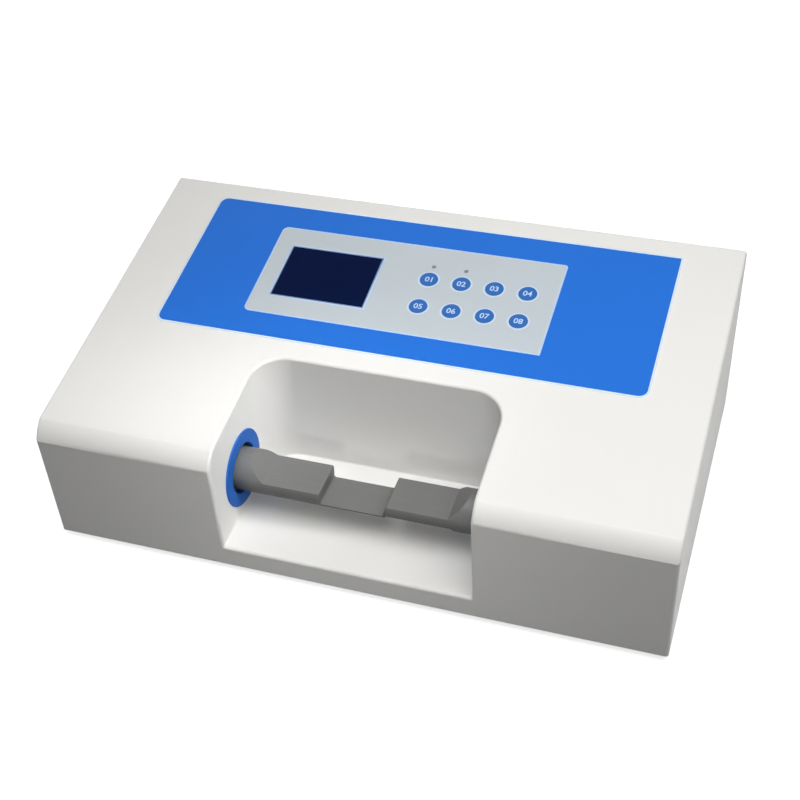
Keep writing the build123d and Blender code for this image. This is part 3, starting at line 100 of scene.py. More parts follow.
def shade(red, green, blue):
    """Scene-linear colour of a display shade, given in 0 to 255."""
    def linear(value):
        value /= 255
        return value / 12.92 if value <= 0.04045 else ((value + 0.055) / 1.055) ** 2.4
    return (linear(red), linear(green), linear(blue))


def colour(name, description, *display):
    """A colour setting with a display shade as its default."""
    return FloatVectorProperty(
        name=name, description=description, subtype="COLOR", size=3, min=0, max=1, default=shade(*display)
    )


def size(name, description, millimetres):
    """A length setting, given in millimetres."""
    return FloatProperty(
        name=name, description=description, default=millimetres * MM, min=0, unit="LENGTH", precision=5
    )


def share(name, description, part):
    """A setting between none and all."""
    return FloatProperty(name=name, description=description, default=part, min=0, max=1)


def watts(name, description, power):
    """The power of a lamp, in watts."""
    return FloatProperty(name=name, description=description, default=power, min=0)


class CaseSettings(bpy.types.PropertyGroup):
    cover: colour("Cover", "Moulded upper cover", 238, 237, 234)
    plate: colour("Base plate", "Powder-coated base plate", 118, 122, 126)
    rubber: colour("Feet", "Rubber feet", 34, 34, 36)
    grain: size("Grain", "Width of one grain of the moulded texture", 0.5)
    grain_height: size("Grain height", "Height of the moulded texture", 0.012)
    nose: size("Nose", "Radius of the rounding between the front and the top", 11)
    nose_curve: size("Nose curve", "Radius of the flatter curve across that rounding", 23)


class PanelSettings(bpy.types.PropertyGroup):
    overlay: colour("Overlay", "Blue overlay sheet", 34, 114, 217)
    field: colour("Field", "Grey field around the keys", 197, 206, 212)
    line: colour("Pale lines", "Pale lines round the field and the display", 188, 216, 248)
    margin: colour("Overlay margin", "Clear margin round the overlay", 222, 240, 255)
    border: colour("Display border", "Line next to the display", 98, 126, 172)
    halo: colour("Key rings", "Pale ring round each key", 205, 222, 240)
    display: colour("Display", "Display window", 2, 18, 60)
    key: colour("Keys", "Key caps", 48, 108, 184)
    legend: colour("Numerals", "Printed numerals", 190, 216, 250)
    lamp: colour("Lamps", "Unlit indicator lamps", 128, 136, 140)
    line_width: size("Line width", "Width of the pale lines", 1.0)
    margin_width: size("Margin width", "Width of the clear margin round the overlay", 1.1)
    border_width: size("Border width", "Width of the darker line round the display", 0.8)
    ring_width: size("Key ring width", "Width of the pale ring round each key", 1.05)
    numeral_height: size("Numeral size", "Type size of the key numerals", 5.6)
    print_height: size("Print height", "Thickness of a printed line", 0.03)


class JawSettings(bpy.types.PropertyGroup):
    steel: colour("Jaws", "Milled and blasted steel of plunger and anvil", 119, 119, 118)
    ring: colour("Rings", "Blue rings on the bay walls", 36, 100, 188)
    edge: size("Broken edge", "Width of the broken edges of the jaws", 0.35)


class StageSettings(bpy.types.PropertyGroup):
    front_power: watts("Front lamp", "Power of the lamp above the front", 3.8)
    right_power: watts("Right lamp", "Power of the lamp above the right", 3.2)
    bay_power: watts("Bay lamp", "Power of the narrow beam into the bay", 0.020)
    low_power: watts("Low lamp", "Power of the narrow beam from the front", 0.016)
    back_power: watts("Back lamp", "Power of the low lamp behind", 5.0)
    left_side_power: watts("Left side lamp", "Power of the low lamp at the left", 2.5)
    right_side_power: watts("Right side lamp", "Power of the low lamp at the right", 1.0)
    fill: share("Fill", "Even light from all round", 0.01)
    floor: colour("Floor", "Pale floor under the tester", 236, 236, 236)
    floor_bounce: share("Floor bounce", "Share of light that the floor gives back", 0.1)


# ---------------------------------------------------------------- materials


class Nodes:
    """A node tree, with a short way to add and link its nodes."""

    def __init__(self, tree):
        self.tree = tree

    def link(self, source, socket):
        """Link an output to an input."""
        self.tree.links.new(source, socket)

    def add(self, kind, settings=(), **inputs):
        """A new node with its settings, and with a value or a source for each input that is named."""
        made = self.tree.nodes.new(kind)
        for name, value in dict(settings).items():
            setattr(made, name, value)
        for name, value in inputs.items():
            socket = made.inputs[name.replace("_", " ")]
            if isinstance(value, bpy.types.NodeSocket):
                self.link(value, socket)
            else:
                socket.default_value = value
        return made


class Finish(Nodes):
    """A Principled material, with the few patterns that its recipes are made of."""

    STRIPES_TO_SCALE = 3.2      # stripes to the metre of a wave texture whose scale is 1

    def __init__(self, name, roughness, metallic=0.0, specular=0.5):
        self.material = bpy.data.materials.new(name)
        self.material.use_nodes = True
        super().__init__(self.material.node_tree)
        self.shader = self.tree.nodes["Principled BSDF"].inputs
        self.shader["Roughness"].default_value = roughness
        self.shader["Metallic"].default_value = metallic
        self.shader["Specular IOR Level"].default_value = specular

    def place(self, stretch=(1, 1, 1)):
        """Object coordinates, stretched along the axes."""
        coordinates = self.add("ShaderNodeTexCoord").outputs["Object"]
        return self.add("ShaderNodeMapping", Vector=coordinates, Scale=stretch).outputs["Vector"]

    def noise(self, width, detail=3.0, stretch=(1, 1, 1)):
        """Cloudy pattern whose patches are about width across."""
        made = self.add("ShaderNodeTexNoise", Vector=self.place(stretch), Scale=1 / width, Detail=detail)
        return made.outputs["Fac"]

    def stripes(self, width, direction, distortion=0.0):
        """Stripes across one axis, width apart."""
        return self.add(
            "ShaderNodeTexWave", {"bands_direction": direction}, Vector=self.place(),
            Scale=1 / width / self.STRIPES_TO_SCALE, Distortion=distortion,
        ).outputs["Fac"]

    def tint(self, base, amount, pattern):
        """Base colour that a pattern carries from a little darker to a little lighter."""
        mix = self.add("ShaderNodeMix", {"data_type": "RGBA"})
        for socket, factor in ((6, 1 - amount), (7, 1 + amount)):
            mix.inputs[socket].default_value = (*(min(1.0, channel * factor) for channel in base), 1)
        self.link(pattern, mix.inputs[0])
        self.link(mix.outputs[2], self.shader["Base Color"])

    def painted_shade_below(self, least):
        """Painted shade: base colour carried down to a share of itself on the faces that look down, as though
        they lay in shade.
        """
        base = self.shader["Base Color"]
        normal = self.add("ShaderNodeNewGeometry").outputs["Normal"]
        rise = self.add("ShaderNodeSeparateXYZ", Vector=normal).outputs["Z"]
        level = self.add("ShaderNodeMapRange", Value=rise, From_Min=-0.5, From_Max=0.3, To_Min=least)
        scale = self.add("ShaderNodeVectorMath", {"operation": "SCALE"}, Scale=level.outputs["Result"])
        self.link(base.links[0].from_socket, scale.inputs[0])
        self.link(scale.outputs[0], base)

    def wear(self, low, high, pattern):
        """Roughness that a pattern carries between two values."""
        made = self.add("ShaderNodeMapRange", Value=pattern, To_Min=low, To_Max=high)
        self.link(made.outputs["Result"], self.shader["Roughness"])

    def relief(self, *layers):
        """Bump from layers, each a pattern and its height in metres."""
        under = {}
        for pattern, height in layers:
            made = self.add("ShaderNodeBump", Height=pattern, Distance=height, Strength=1.0, **under)
            under = {"Normal": made.outputs["Normal"]}
        self.link(under["Normal"], self.shader["Normal"])


def moulded_white(look):
    """Painted white moulding: fine grain over slow waves that the highlights show."""
    made = Finish("moulded_white", roughness=0.42, specular=0.3)
    made.tint(look.cover, 0.012, made.noise(40 * MM, 2))
    made.wear(0.36, 0.50, made.noise(12 * MM, 4))
    made.relief((made.noise(22 * MM, 2), 0.10 * MM), (made.noise(look.grain, 2), look.grain_height))
    return made.material


def printed_film(name, base):
    """Printed polyester film: fine satin tooth, slightly uneven ink."""
    made = Finish(name, roughness=0.34, specular=0.2)
    made.tint(base, 0.02, made.noise(20 * MM))
    made.wear(0.29, 0.41, made.noise(0.6 * MM, 2))
    made.relief((made.noise(0.25 * MM, 2), 0.002 * MM))
    return made.material


def display_glass(look):
    """Dark display behind a glossy window, with faint smears on it."""
    made = Finish("display_glass", roughness=0.12, specular=0.03)
    made.tint(look.display, 0.16, made.noise(9 * MM))
    made.wear(0.08, 0.24, made.noise(7 * MM, 4, stretch=(1, 0.4, 1)))
    return made.material


def milled_steel(look):
    """Satin steel with faint marks along the length of the jaws, and painted shade on the faces that look down.
    """
    made = Finish("milled_steel", roughness=0.45, metallic=0.1, specular=0.25)
    made.tint(look.steel, 0.07, made.noise(1.2 * MM, stretch=(0.06, 1, 1)))
    # painted shade: the faces that look down are darkened to 0.4 of the steel colour
    made.painted_shade_below(0.4)
    made.wear(0.36, 0.5, made.noise(2.5 * MM))
    made.relief((made.noise(0.35 * MM, 2, stretch=(0.05, 1, 1)), 0.0015 * MM))
    return made.material


def coated(name, base, *, roughness, uneven, patch, grain=0, height=0, detail=3.0, specular=0.5):
    """A coat, film or moulding: its colour uneven in patches, with a relief of fine grains."""
    made = Finish(name, roughness, specular=specular)
    made.tint(base, uneven, made.noise(patch))
    if height:
        made.relief((made.noise(grain, detail), height))
    return made.material


def plastic(name, base, *, roughness=0.45):
    """Plain moulded plastic with a fine spark-eroded grain."""
    return coated(
        name, base, roughness=roughness, uneven=0.06, patch=2.8 * MM,
        grain=0.35 * MM, height=0.006 * MM, detail=2,
    )


def ink(name, base):
    """Screen-printed ink, slightly broken at the scale of its mesh."""
    return coated(name, base, roughness=0.45, uneven=0.03, patch=0.4 * MM, grain=0.2 * MM, height=0.004 * MM)


def metal(name, base, *, roughness, stretch=(1, 1, 1)):
    """Plain worked metal: its grain stretched along the way that the tool ran."""
    grain = 0.5 * MM
    made = Finish(name, roughness, metallic=1.0)
    made.tint(base, 0.08, made.noise(grain, stretch=stretch))
    made.wear(roughness - 0.06, roughness + 0.08, made.noise(6 * grain))
    made.relief((made.noise(grain, 2, stretch), 0.003 * MM))
    return made.material


def striped(name, base, direction, *, roughness, uneven, width, height, distortion=0.0, metallic=0.0):
    """A finish in stripes that differ in shade and height: tracks, sheets or turns of tape."""
    made = Finish(name, roughness, metallic)
    stripes = made.stripes(width, direction, distortion)
    made.tint(base, uneven, stripes)
    made.relief((stripes, height))
    return made.material


# ---------------------------------------------------------------- meshes and pieces


def piece(name, mesh, material, body="root", stands_for=()):
    """A finished mesh as a piece that rides on a body and may stand for CAD nodes."""
    made = bpy.data.objects.new(name, mesh)
    bpy.context.scene.collection.objects.link(made)
    mesh.materials.clear()
    mesh.materials.append(material)
    if stands_for:
        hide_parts(*stands_for)
    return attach(made, body)


def instead(node, name, mesh, material):
    """A piece that stands for one CAD node, on its body."""
    return piece(name, mesh, material, body_of(node), [node])


def beside(node, name, mesh, material):
    """A piece that belongs to a CAD node without standing for it."""
    return piece(name, mesh, material, body_of(node))


def paint(made, material, chosen):
    """Give a piece one more material, on the faces that chosen(face) picks."""
    made.data.materials.append(material)
    index = len(made.data.materials) - 1
    for face in made.data.polygons:
        if chosen(face):
            face.material_index = index


def coat(material, *nodes):
    """Give CAD nodes a material, in the slots of their own objects."""
    for node in nodes:
        slots = frame["nodes"][node].material_slots
        if not slots:
            raise RuntimeError(f"node {node} has no material slot")
        for slot in slots:
            slot.material = material


def body_of(node):
    """Name of the body that a CAD node belongs to."""
    return frame["nodes"][node]["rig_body"]


def evaluated_mesh(source):
    """The mesh of an object with its modifiers applied. The object is removed."""
    graph = bpy.context.evaluated_depsgraph_get()
    mesh = bpy.data.meshes.new_from_object(
        source.evaluated_get(graph), preserve_all_data_layers=True, depsgraph=graph
    )
    old = source.data
    bpy.data.objects.remove(source)
    if isinstance(old, bpy.types.Mesh) and old.users == 0:
        bpy.data.meshes.remove(old)
    return mesh


def temporary(mesh):
    """An object that only carries modifiers while a mesh is made."""
    made = bpy.data.objects.new("temporary", mesh)
    bpy.context.scene.collection.objects.link(made)
    return made


def plain(made, name):
    """The mesh of a bmesh, which is freed."""
    mesh = bpy.data.meshes.new(name)
    made.to_mesh(mesh)
    made.free()
    return mesh


def merged(node):
    """A bmesh of a CAD node's mesh with its doubles merged."""
    made = bmesh.new()
    made.from_mesh(frame["nodes"][node].data)
    bmesh.ops.remove_doubles(made, verts=made.verts, dist=MERGED_BELOW)
    return made


def merged_copy(node):
    """Copy of a CAD node's mesh with its doubles merged and its flat faces joined."""
    made = merged(node)
    bmesh.ops.dissolve_limit(made, angle_limit=FLAT_BELOW, verts=made.verts, edges=made.edges)
    return plain(made, node)


def shaded(mesh, creased=None):
    """Smooth shading, but for sharp edges and those between places that creased(place) picks."""
    mesh.shade_smooth()
    mesh.set_sharp_from_angle(angle=SMOOTH_BELOW)
    if creased:
        for edge in mesh.edges:
            if all(creased(mesh.vertices[end].co) for end in edge.vertices):
                edge.use_edge_sharp = True
    holder = temporary(mesh)
    weighting = holder.modifiers.new("weighting", "WEIGHTED_NORMAL")
    weighting.mode = "FACE_AREA"
    weighting.keep_sharp = True
    return evaluated_mesh(holder)


def refined(node, material, edge=0.0, name=None):
    """A smoothly shaded copy of a CAD node that stands for it, with its edges broken."""
    mesh = merged_copy(node)
    if edge:
        holder = temporary(mesh)
        rounding = holder.modifiers.new("edges", "BEVEL")
        rounding.width = edge
        rounding.segments = 2
        rounding.limit_method = "ANGLE"
        rounding.angle_limit = BROKEN_ABOVE
        rounding.use_clamp_overlap = True
        mesh = evaluated_mesh(holder)
    return instead(node, name or f"{node}_finished", shaded(mesh), material)


def refine(material, *nodes, edge=0.0):
    """Refined copies of several CAD nodes."""
    for node in nodes:
        refined(node, material, edge)


def lathed(profile, steps, hollow=False):
    """Solid turned round Z from (radius, height) points: from axis to axis, or a closed hollow ring."""
    made = bmesh.new()
    angles = [2 * math.pi * step / steps for step in range(steps)]
    rings = []
    for radius, height in profile:
        around = angles if radius else [0]
        rings.append([made.verts.new((radius * math.cos(a), radius * math.sin(a), height)) for a in around])
    after = rings[1:] + rings[:1] if hollow else rings[1:]
    for low, high in zip(rings, after):
        for step in range(steps):
            ahead = (step + 1) % steps
            corners = (
                low[step % len(low)], low[ahead % len(low)], high[ahead % len(high)], high[step % len(high)]
            )
            made.faces.new(list(dict.fromkeys(corners)))
    bmesh.ops.recalc_face_normals(made, faces=made.faces)
    return plain(made, "lathed")


def pin(radius, low, high, steps):
    """A plain round solid along Z."""
    return lathed([(0, low), (radius, low), (radius, high), (0, high)], steps)


def polygon(radius, sides):
    """Corners of a regular outline round the origin."""
    angles = [2 * math.pi * number / sides for number in range(sides)]
    return [(radius * math.cos(angle), radius * math.sin(angle)) for angle in angles]


def rectangle(left, right, near, far):
    """Corners of a rectangle, anticlockwise."""
    return [(left, near), (right, near), (right, far), (left, far)]


def rounded(corners, radius):
    """Outline through corners, given anticlockwise, with a radius at each."""
    outline, steps = [], 6
    spots = [Vector(corner) for corner in corners]
    for number, here in enumerate(spots):
        back = (spots[number - 1] - here).normalized()
        ahead = (spots[(number + 1) % len(spots)] - here).normalized()
        half = back.angle(ahead) / 2
        centre = here + (back + ahead).normalized() * radius / math.sin(half)
        start = here + back * radius / math.tan(half) - centre
        for step in range(steps + 1):
            angle = math.atan2(start.y, start.x) + (math.pi - 2 * half) * step / steps
            outline.append((centre.x + radius * math.cos(angle), centre.y + radius * math.sin(angle)))
    return outline


def cross(arm, half_width):
    """Outline of a cross with four equal arms."""
    outline, quarter = [], [(arm, half_width), (half_width, half_width), (half_width, arm)]
    for _ in range(4):
        outline += quarter
        quarter = [(-y, x) for x, y in quarter]
    return outline


def prism(outline, low, high):
    """Upright solid on an outline of (x, y) points, between two heights."""
    made = bmesh.new()
    face = made.faces.new([made.verts.new((x, y, low)) for x, y in outline])
    risen = bmesh.ops.extrude_face_region(made, geom=[face])["geom"]
    top = [item for item in risen if isinstance(item, bmesh.types.BMVert)]
    bmesh.ops.translate(made, verts=top, vec=(0, 0, high - low))
    bmesh.ops.recalc_face_normals(made, faces=made.faces)
    return plain(made, "prism")


def facing(place, normal, along=ALONG_X):
    """Matrix that carries Z to the normal and X as near as can be to along, at a place."""
    up = Vector(normal).normalized()
    side = (Vector(along) - up * Vector(along).dot(up)).normalized()
    return Matrix.Translation(place) @ Matrix((side, up.cross(side), up)).transposed().to_4x4()


def placed(mesh, matrix):
    """The mesh, carried to its place."""
    mesh.transform(matrix)
    return mesh


def moved(mesh, x=0, y=0, z=0):
    """The mesh, moved along the axes."""
    return placed(mesh, Matrix.Translation((x, y, z)))


def joined(*meshes):
    """Several meshes as one."""
    made = bmesh.new()
    for mesh in meshes:
        made.from_mesh(mesh)
        bpy.data.meshes.remove(mesh)
    return plain(made, "joined")


def cut(mesh, *tools, operation="DIFFERENCE"):
    """The mesh with the tools' solids taken away, or with only what they share kept."""
    holder = temporary(mesh)
    cutters = [temporary(tool) for tool in tools]
    for cutter in cutters:
        boolean = holder.modifiers.new("cut", "BOOLEAN")
        boolean.operation = operation
        boolean.solver = "EXACT"
        boolean.object = cutter
    made = evaluated_mesh(holder)
    for cutter in cutters:
        bpy.data.objects.remove(cutter)
    return made


def shank(radius, top, bottom):
    """Threaded shank of a small screw, from under its head down to a blunt point."""
    pitch = 0.36 * radius
    core = radius - 0.55 * pitch
    turns = int((top - bottom - 0.8 * pitch) / pitch)
    profile = [(0, top), (core, top)]
    for turn in range(turns):
        height = top - (turn + 0.5) * pitch
        profile += [(core, height + 0.35 * pitch), (radius, height), (core, height - 0.35 * pitch)]
    profile += [(core, bottom + 0.3 * pitch), (0.8 * core, bottom), (0, bottom)]
    return lathed(profile, 20)


def screw(r, h, shank_radius, length, hexagonal, nut):
    """A screw with the top of its head at Z = 0, which has the radius r and the height h.

    The head is a hexagon with a rounded top, or a low dome with a cross recess.
    """
    if hexagonal:
        clear = 1.2 * r
        rounding = [(0, -1.5 * h), (clear, -1.5 * h), (clear, -0.35 * r), (0.8 * r, 0), (0, 0)]
        head = cut(prism(polygon(r, 6), -h, 0), lathed(rounding, 40), operation="INTERSECT")
    else:
        shoulder = [(r, -0.5 * h), (0.94 * r, -0.22 * h), (0.78 * r, -0.05 * h), (0.6 * r, 0)]
        dome = [(0, -h), (r, -h), *shoulder, (0, 0)]
        head = cut(lathed(dome, 40), prism(cross(0.56 * r, 0.14 * r), -0.6 * h, h))
    parts = [head, shank(shank_radius, -0.9 * h, -length)]
    if nut:
        parts.append(prism(polygon(2.1 * shank_radius, 6), -nut[1], -nut[0]))
    return joined(*parts)


def lettering(text, height, thickness):
    """Text as a solid centred on the origin, from just under Z = 0 to its thickness."""
    curve = bpy.data.curves.new("lettering", "FONT")
    curve.body = text
    curve.size = height
    curve.extrude = thickness
    curve.offset = 0.018 * height       # a little bolder
    curve.resolution_u = 4
    mesh = evaluated_mesh(temporary(curve))
    bpy.data.curves.remove(curve)
    low, high = box_of(vertex.co for vertex in mesh.vertices)
    return moved(mesh, -(low.x + high.x) / 2, -(low.y + high.y) / 2)


# ---------------------------------------------------------------- geometry node trees


class Tree(Nodes):
    """A geometry tree with named inputs, which ends in Realize Instances and Set Material."""

    def __init__(self, name, **inputs):
        super().__init__(bpy.data.node_groups.new(name, "GeometryNodeTree"))
        socket = self.tree.interface.new_socket
        socket("Geometry", in_out="INPUT", socket_type="NodeSocketGeometry")
        socket("Geometry", in_out="OUTPUT", socket_type="NodeSocketGeometry")
        for label, kind in {**inputs, "Material": "Material"}.items():
            socket(label.replace("_", " "), in_out="INPUT", socket_type=f"NodeSocket{kind}")
        self.given = self.tree.nodes.new("NodeGroupInput").outputs

    def finish(self, source):
        """The tree, ended with a source of geometry."""
        real = self.add("GeometryNodeRealizeInstances", Geometry=source).outputs[0]
        painted = self.add("GeometryNodeSetMaterial", Geometry=real, Material=self.given["Material"])
        self.add("NodeGroupOutput", Geometry=painted.outputs[0])
        return self.tree


def run_tree(tree, mesh, **values):
    """The plain mesh that a tree makes from a mesh, with its inputs given by name."""
    holder = temporary(mesh)
    modifier = holder.modifiers.new("tree", "NODES")
    modifier.node_group = tree
    for item in tree.interface.items_tree:
        label = item.name.replace(" ", "_")
        if item.item_type == "SOCKET" and item.in_out == "INPUT" and label in values:
            modifier[item.identifier] = values[label]
    return evaluated_mesh(holder)


def repeat_tree():
    """One copy of a part on each point: its Z along the point's facing, with a chance turn."""
    tree = Tree("repeated_part", Part="Object", Largest_Turn="Float", Seed="Int")
    way = tree.add("GeometryNodeInputNamedAttribute", {"data_type": "FLOAT_VECTOR"}, Name="facing")
    align = tree.add("FunctionNodeAlignRotationToVector", {"axis": "Z"}, Vector=way.outputs["Attribute"])
    chance = tree.add("FunctionNodeRandomValue", {"data_type": "FLOAT"}, Seed=tree.given["Seed"])
    tree.link(tree.given["Largest Turn"], chance.inputs[3])
    about_z = tree.add("FunctionNodeAxisAngleToRotation", Axis=(0, 0, 1), Angle=chance.outputs[1])
    turn = tree.add(
        "FunctionNodeRotateRotation", {"rotation_space": "LOCAL"},
        Rotation=align.outputs["Rotation"], Rotate_By=about_z.outputs["Rotation"],
    )
    part = tree.add("GeometryNodeObjectInfo", Object=tree.given["Part"])
    copies = tree.add(
        "GeometryNodeInstanceOnPoints", Points=tree.given["Geometry"],
        Instance=part.outputs["Geometry"], Rotation=turn.outputs["Rotation"],
    )
    return tree.finish(copies.outputs["Instances"])


def strip_tree():
    """A flat printed strip along the edges of a mesh, lying square to a normal."""
    tree = Tree("printed_strip", Width="Float", Thickness="Float", Normal="Vector")
    path = tree.add("GeometryNodeMeshToCurve", Mesh=tree.given["Geometry"]).outputs["Curve"]
    flat = tree.add("GeometryNodeSetCurveNormal", {"mode": "FREE"}, Curve=path, Normal=tree.given["Normal"])
    section = tree.add(
        "GeometryNodeCurvePrimitiveQuadrilateral", Width=tree.given["Thickness"], Height=tree.given["Width"]
    )
    sweep = tree.add(
        "GeometryNodeCurveToMesh", Curve=flat.outputs["Curve"], Profile_Curve=section.outputs["Curve"]
    )
    return tree.finish(sweep.outputs["Mesh"])


def thread_tree():
    """A screw thread round Z: a spiral ridge with a trapezoid section."""
    tree = Tree(
        "screw_thread", Turns="Float", Length="Float", Middle_Radius="Float", Depth="Float",
        Root_Width="Float", Crest_Width="Float",
    )
    given = tree.given
    spiral = tree.add(
        "GeometryNodeCurveSpiral", Resolution=32, Rotations=given["Turns"], Height=given["Length"],
        Start_Radius=given["Middle Radius"], End_Radius=given["Middle Radius"],
    )
    upright = tree.add("GeometryNodeSetCurveNormal", {"mode": "Z_UP"}, Curve=spiral.outputs["Curve"])
    section = tree.add(
        "GeometryNodeCurvePrimitiveQuadrilateral", {"mode": "TRAPEZOID"}, Offset=0, Height=given["Depth"],
        Bottom_Width=given["Root Width"], Top_Width=given["Crest Width"],
    )
    standing = tree.add(
        "GeometryNodeTransform", Geometry=section.outputs["Curve"], Rotation=(0, 0, -math.pi / 2)
    )
    sweep = tree.add(
        "GeometryNodeCurveToMesh", Curve=upright.outputs["Curve"], Profile_Curve=standing.outputs["Geometry"],
        Fill_Caps=True,
    )
    return tree.finish(sweep.outputs["Mesh"])


def repeated(part, spots, material, largest_turn=0.0):
    """Copies of a part's mesh at spots, each a place and the way it faces, as one plain mesh."""
    points = bpy.data.meshes.new("points")
    points.from_pydata([tuple(place) for place, _ in spots], [], [])
    directions = points.attributes.new("facing", "FLOAT_VECTOR", "POINT")
    directions.data.foreach_set("vector", [value for _, normal in spots for value in normal])
    source = temporary(part)
    tree = bpy.data.node_groups.get("repeated_part") or repeat_tree()
    made = run_tree(
        tree, points, Part=source, Largest_Turn=largest_turn, Seed=len(spots), Material=material
    )
    bpy.data.objects.remove(source)
    return made


def strip_along(outline, width, thickness, normal, material):
    """A printed strip along a closed outline of places."""
    path = bpy.data.meshes.new("path")
    count = len(outline)
    path.from_pydata([tuple(p) for p in outline], [(i, (i + 1) % count) for i in range(count)], [])
    tree = bpy.data.node_groups.get("printed_strip") or strip_tree()
    return run_tree(tree, path, Width=width, Thickness=thickness, Normal=tuple(normal), Material=material)


# ---------------------------------------------------------------- places, read from the frame


def box_of(places):
    """Lowest and highest corner of the box round some places."""
    places = list(places)
    return [Vector([limit(place[axis] for place in places) for axis in range(3)]) for limit in (min, max)]


def middle_of(node):
    """Middle of a CAD node's box."""
    low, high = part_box(node)
    return (low + high) / 2


def solids_of(node):
    """Corners of each separate solid of a CAD node, in the same order each run."""
    def number(vertex):
        return vertex.index

    source = merged(node)
    left = set(source.verts)
    solids = []
    while left:
        group, edge = set(), {min(left, key=number)}
        while edge:
            group |= edge
            edge = {link.other_vert(vertex) for vertex in edge for link in vertex.link_edges} - group
        left -= group
        solids.append([vertex.co.copy() for vertex in sorted(group, key=number)])
    source.free()
    return solids


class ScrewPlace:
    """One screw of a CAD node: where its head's top is, how it lies and its sizes."""

    RIM_BELOW = 0.002 * MM      # corners of an end face lie within this of its top

    def __init__(self, corners, axis):
        ends = self.end(corners, axis), self.end(corners, -axis)
        self.place, self.head_radius, self.sides, self.facing = max(ends, key=lambda end: end[1])
        self.shank_radius = min(end[1] for end in ends)
        top = self.place.dot(self.facing)
        depths = sorted({round(top - corner.dot(self.facing), 5) for corner in corners})
        self.head_height, self.length = depths[1], depths[-1]
        self.nut = tuple(depths[2:4]) if len(depths) > 3 else ()

    def end(self, corners, axis):
        """Middle, radius and corner count of the end face that looks along the axis."""
        top = max(corner.dot(axis) for corner in corners)
        rim = [corner for corner in corners if top - corner.dot(axis) < self.RIM_BELOW]
        middle = sum(rim, Vector()) / len(rim)
        return middle, max((corner - middle).length for corner in rim), len(rim), axis

    def kind(self):
        """What is the same on like screws."""
        sizes = (self.head_radius, self.head_height, self.shank_radius, self.length)
        return (*(round(size, 5) for size in sizes), self.sides == 6, self.nut)


class Face:
    """A flat face of a CAD node: a frame of its own, with X across and the slope up it."""

    LEAST_COSINE = 0.95     # between the face's normal and the way that it was asked for

    def __init__(self, node, towards):
        self.node = node
        mesh = frame["nodes"][node].data
        wanted = Vector(towards).normalized()
        ends = [polygon for polygon in mesh.polygons if polygon.normal.dot(wanted) > self.LEAST_COSINE]
        largest = max(ends, key=lambda polygon: polygon.area)
        self.normal = largest.normal.copy()
        self.height = largest.center.dot(self.normal)
        self.along = (ALONG_X - self.normal * ALONG_X.dot(self.normal)).normalized()
        self.slope = self.normal.cross(self.along)

    def on(self, place, lift=0.0):
        """A place, brought square on to the face and lifted off it."""
        place = Vector(place)
        return place + self.normal * (self.height - place.dot(self.normal) + lift)

    def at(self, place):
        """Matrix of a thing that stands on the face at a place."""
        return facing(self.on(place), self.normal, self.along)

    def corners(self):
        """Corners of the whole node, as seen square on to the face."""
        axes = (self.along, self.slope, self.normal)
        vertices = frame["nodes"][self.node].data.vertices
        return [Vector([vertex.co.dot(axis) for axis in axes]) for vertex in vertices]

    def spread(self):
        """Size of the node along the face's three directions."""
        return [high - low for low, high in zip(*box_of(self.corners()))]

    def outline(self, grown, lift):
        """Places round the node, which has no hollow in its outline, moved outwards and up."""
        flat = sorted({(round(c.x, 6), round(c.y, 6)) for c in self.corners()})
        ring = [Vector(flat[number]) for number in convex_hull_2d(flat)]
        middle = sum(ring, Vector((0, 0))) / len(ring)
        places = []
        for number, here in enumerate(ring):
            sides = [here - ring[number - 1], ring[(number + 1) % len(ring)] - here]
            outwards = [side.orthogonal().normalized() for side in sides]
            outwards = [out if out.dot(here - middle) > 0 else -out for out in outwards]
            shifted = here + (outwards[0] + outwards[1]) * grown / (1 + outwards[0].dot(outwards[1]))
            places.append(self.on(self.along * shifted.x + self.slope * shifted.y, lift))
        return places


# ---------------------------------------------------------------- operators


class TESTER_OT_case(bpy.types.Operator):
    """Finish the moulded cover, the base plate and the rubber feet"""
    bl_idname = "tester.case"
    bl_label = "Case"

    FOOT_EDGE = 0.5 * MM
    ANGLE_SLACK = 0.001         # radians past an end of the rounding that still belong to it
    FOOT_SLACK = 0.02 * MM      # distance from the nose's foot that still belongs to it

    def execute(self, context):
        look = context.scene.tester_case
        self.cover("upper_cover", look)
        powder = coated(
            "powder_coat", look.plate, roughness=0.5, uneven=0.05, patch=0.9 * MM,
            grain=1.1 * MM, height=0.03 * MM,
        )
        rubber = coated(
            "foot_rubber", look.rubber, roughness=0.8, uneven=0.25, patch=4 * MM,
            grain=0.3 * MM, height=0.02 * MM,
        )
        coat(powder, "base_plate")
        refined("feet", rubber, self.FOOT_EDGE, "rubber_feet")
        return {"FINISHED"}

    def cover(self, node, look):
        """The moulding, with a flatter nose than its rounding, which meets the front wall in an edge.

        Each corner of the rounding, on its outside or inside, moves in towards the rounding's axis by
        what a larger circle through the rounding's two ends lies inside it there.
        """
        mesh, top, front = merged_copy(node), Face(node, UP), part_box(node)[0].y
        axis = Vector((0, front + look.nose, 0))
        axis.z = (top.height - look.nose - top.normal.y * axis.y) / top.normal.z
        half_turn = math.atan2(top.normal.z, -top.normal.y) / 2
        half_curve = math.asin(look.nose / look.nose_curve * math.sin(half_turn))
        behind = look.nose_curve * math.cos(half_curve) - look.nose * math.cos(half_turn)
        for vertex in mesh.vertices:
            out = (vertex.co - axis) * Vector((0, 1, 1))
            aside = math.atan2(out.z, -out.y) - half_turn
            if out.length > look.nose / 2 and abs(aside) < half_turn + self.ANGLE_SLACK:
                across = behind * math.sin(aside)
                radius = math.sqrt(look.nose_curve ** 2 - across ** 2) - behind * math.cos(aside)
                vertex.co += out.normalized() * (radius - look.nose)

        def at_foot(place):
            return max(abs(place.y - front), abs(place.z - axis.z)) < self.FOOT_SLACK

        instead(node, "cover_moulding", shaded(mesh, creased=at_foot), moulded_white(look))


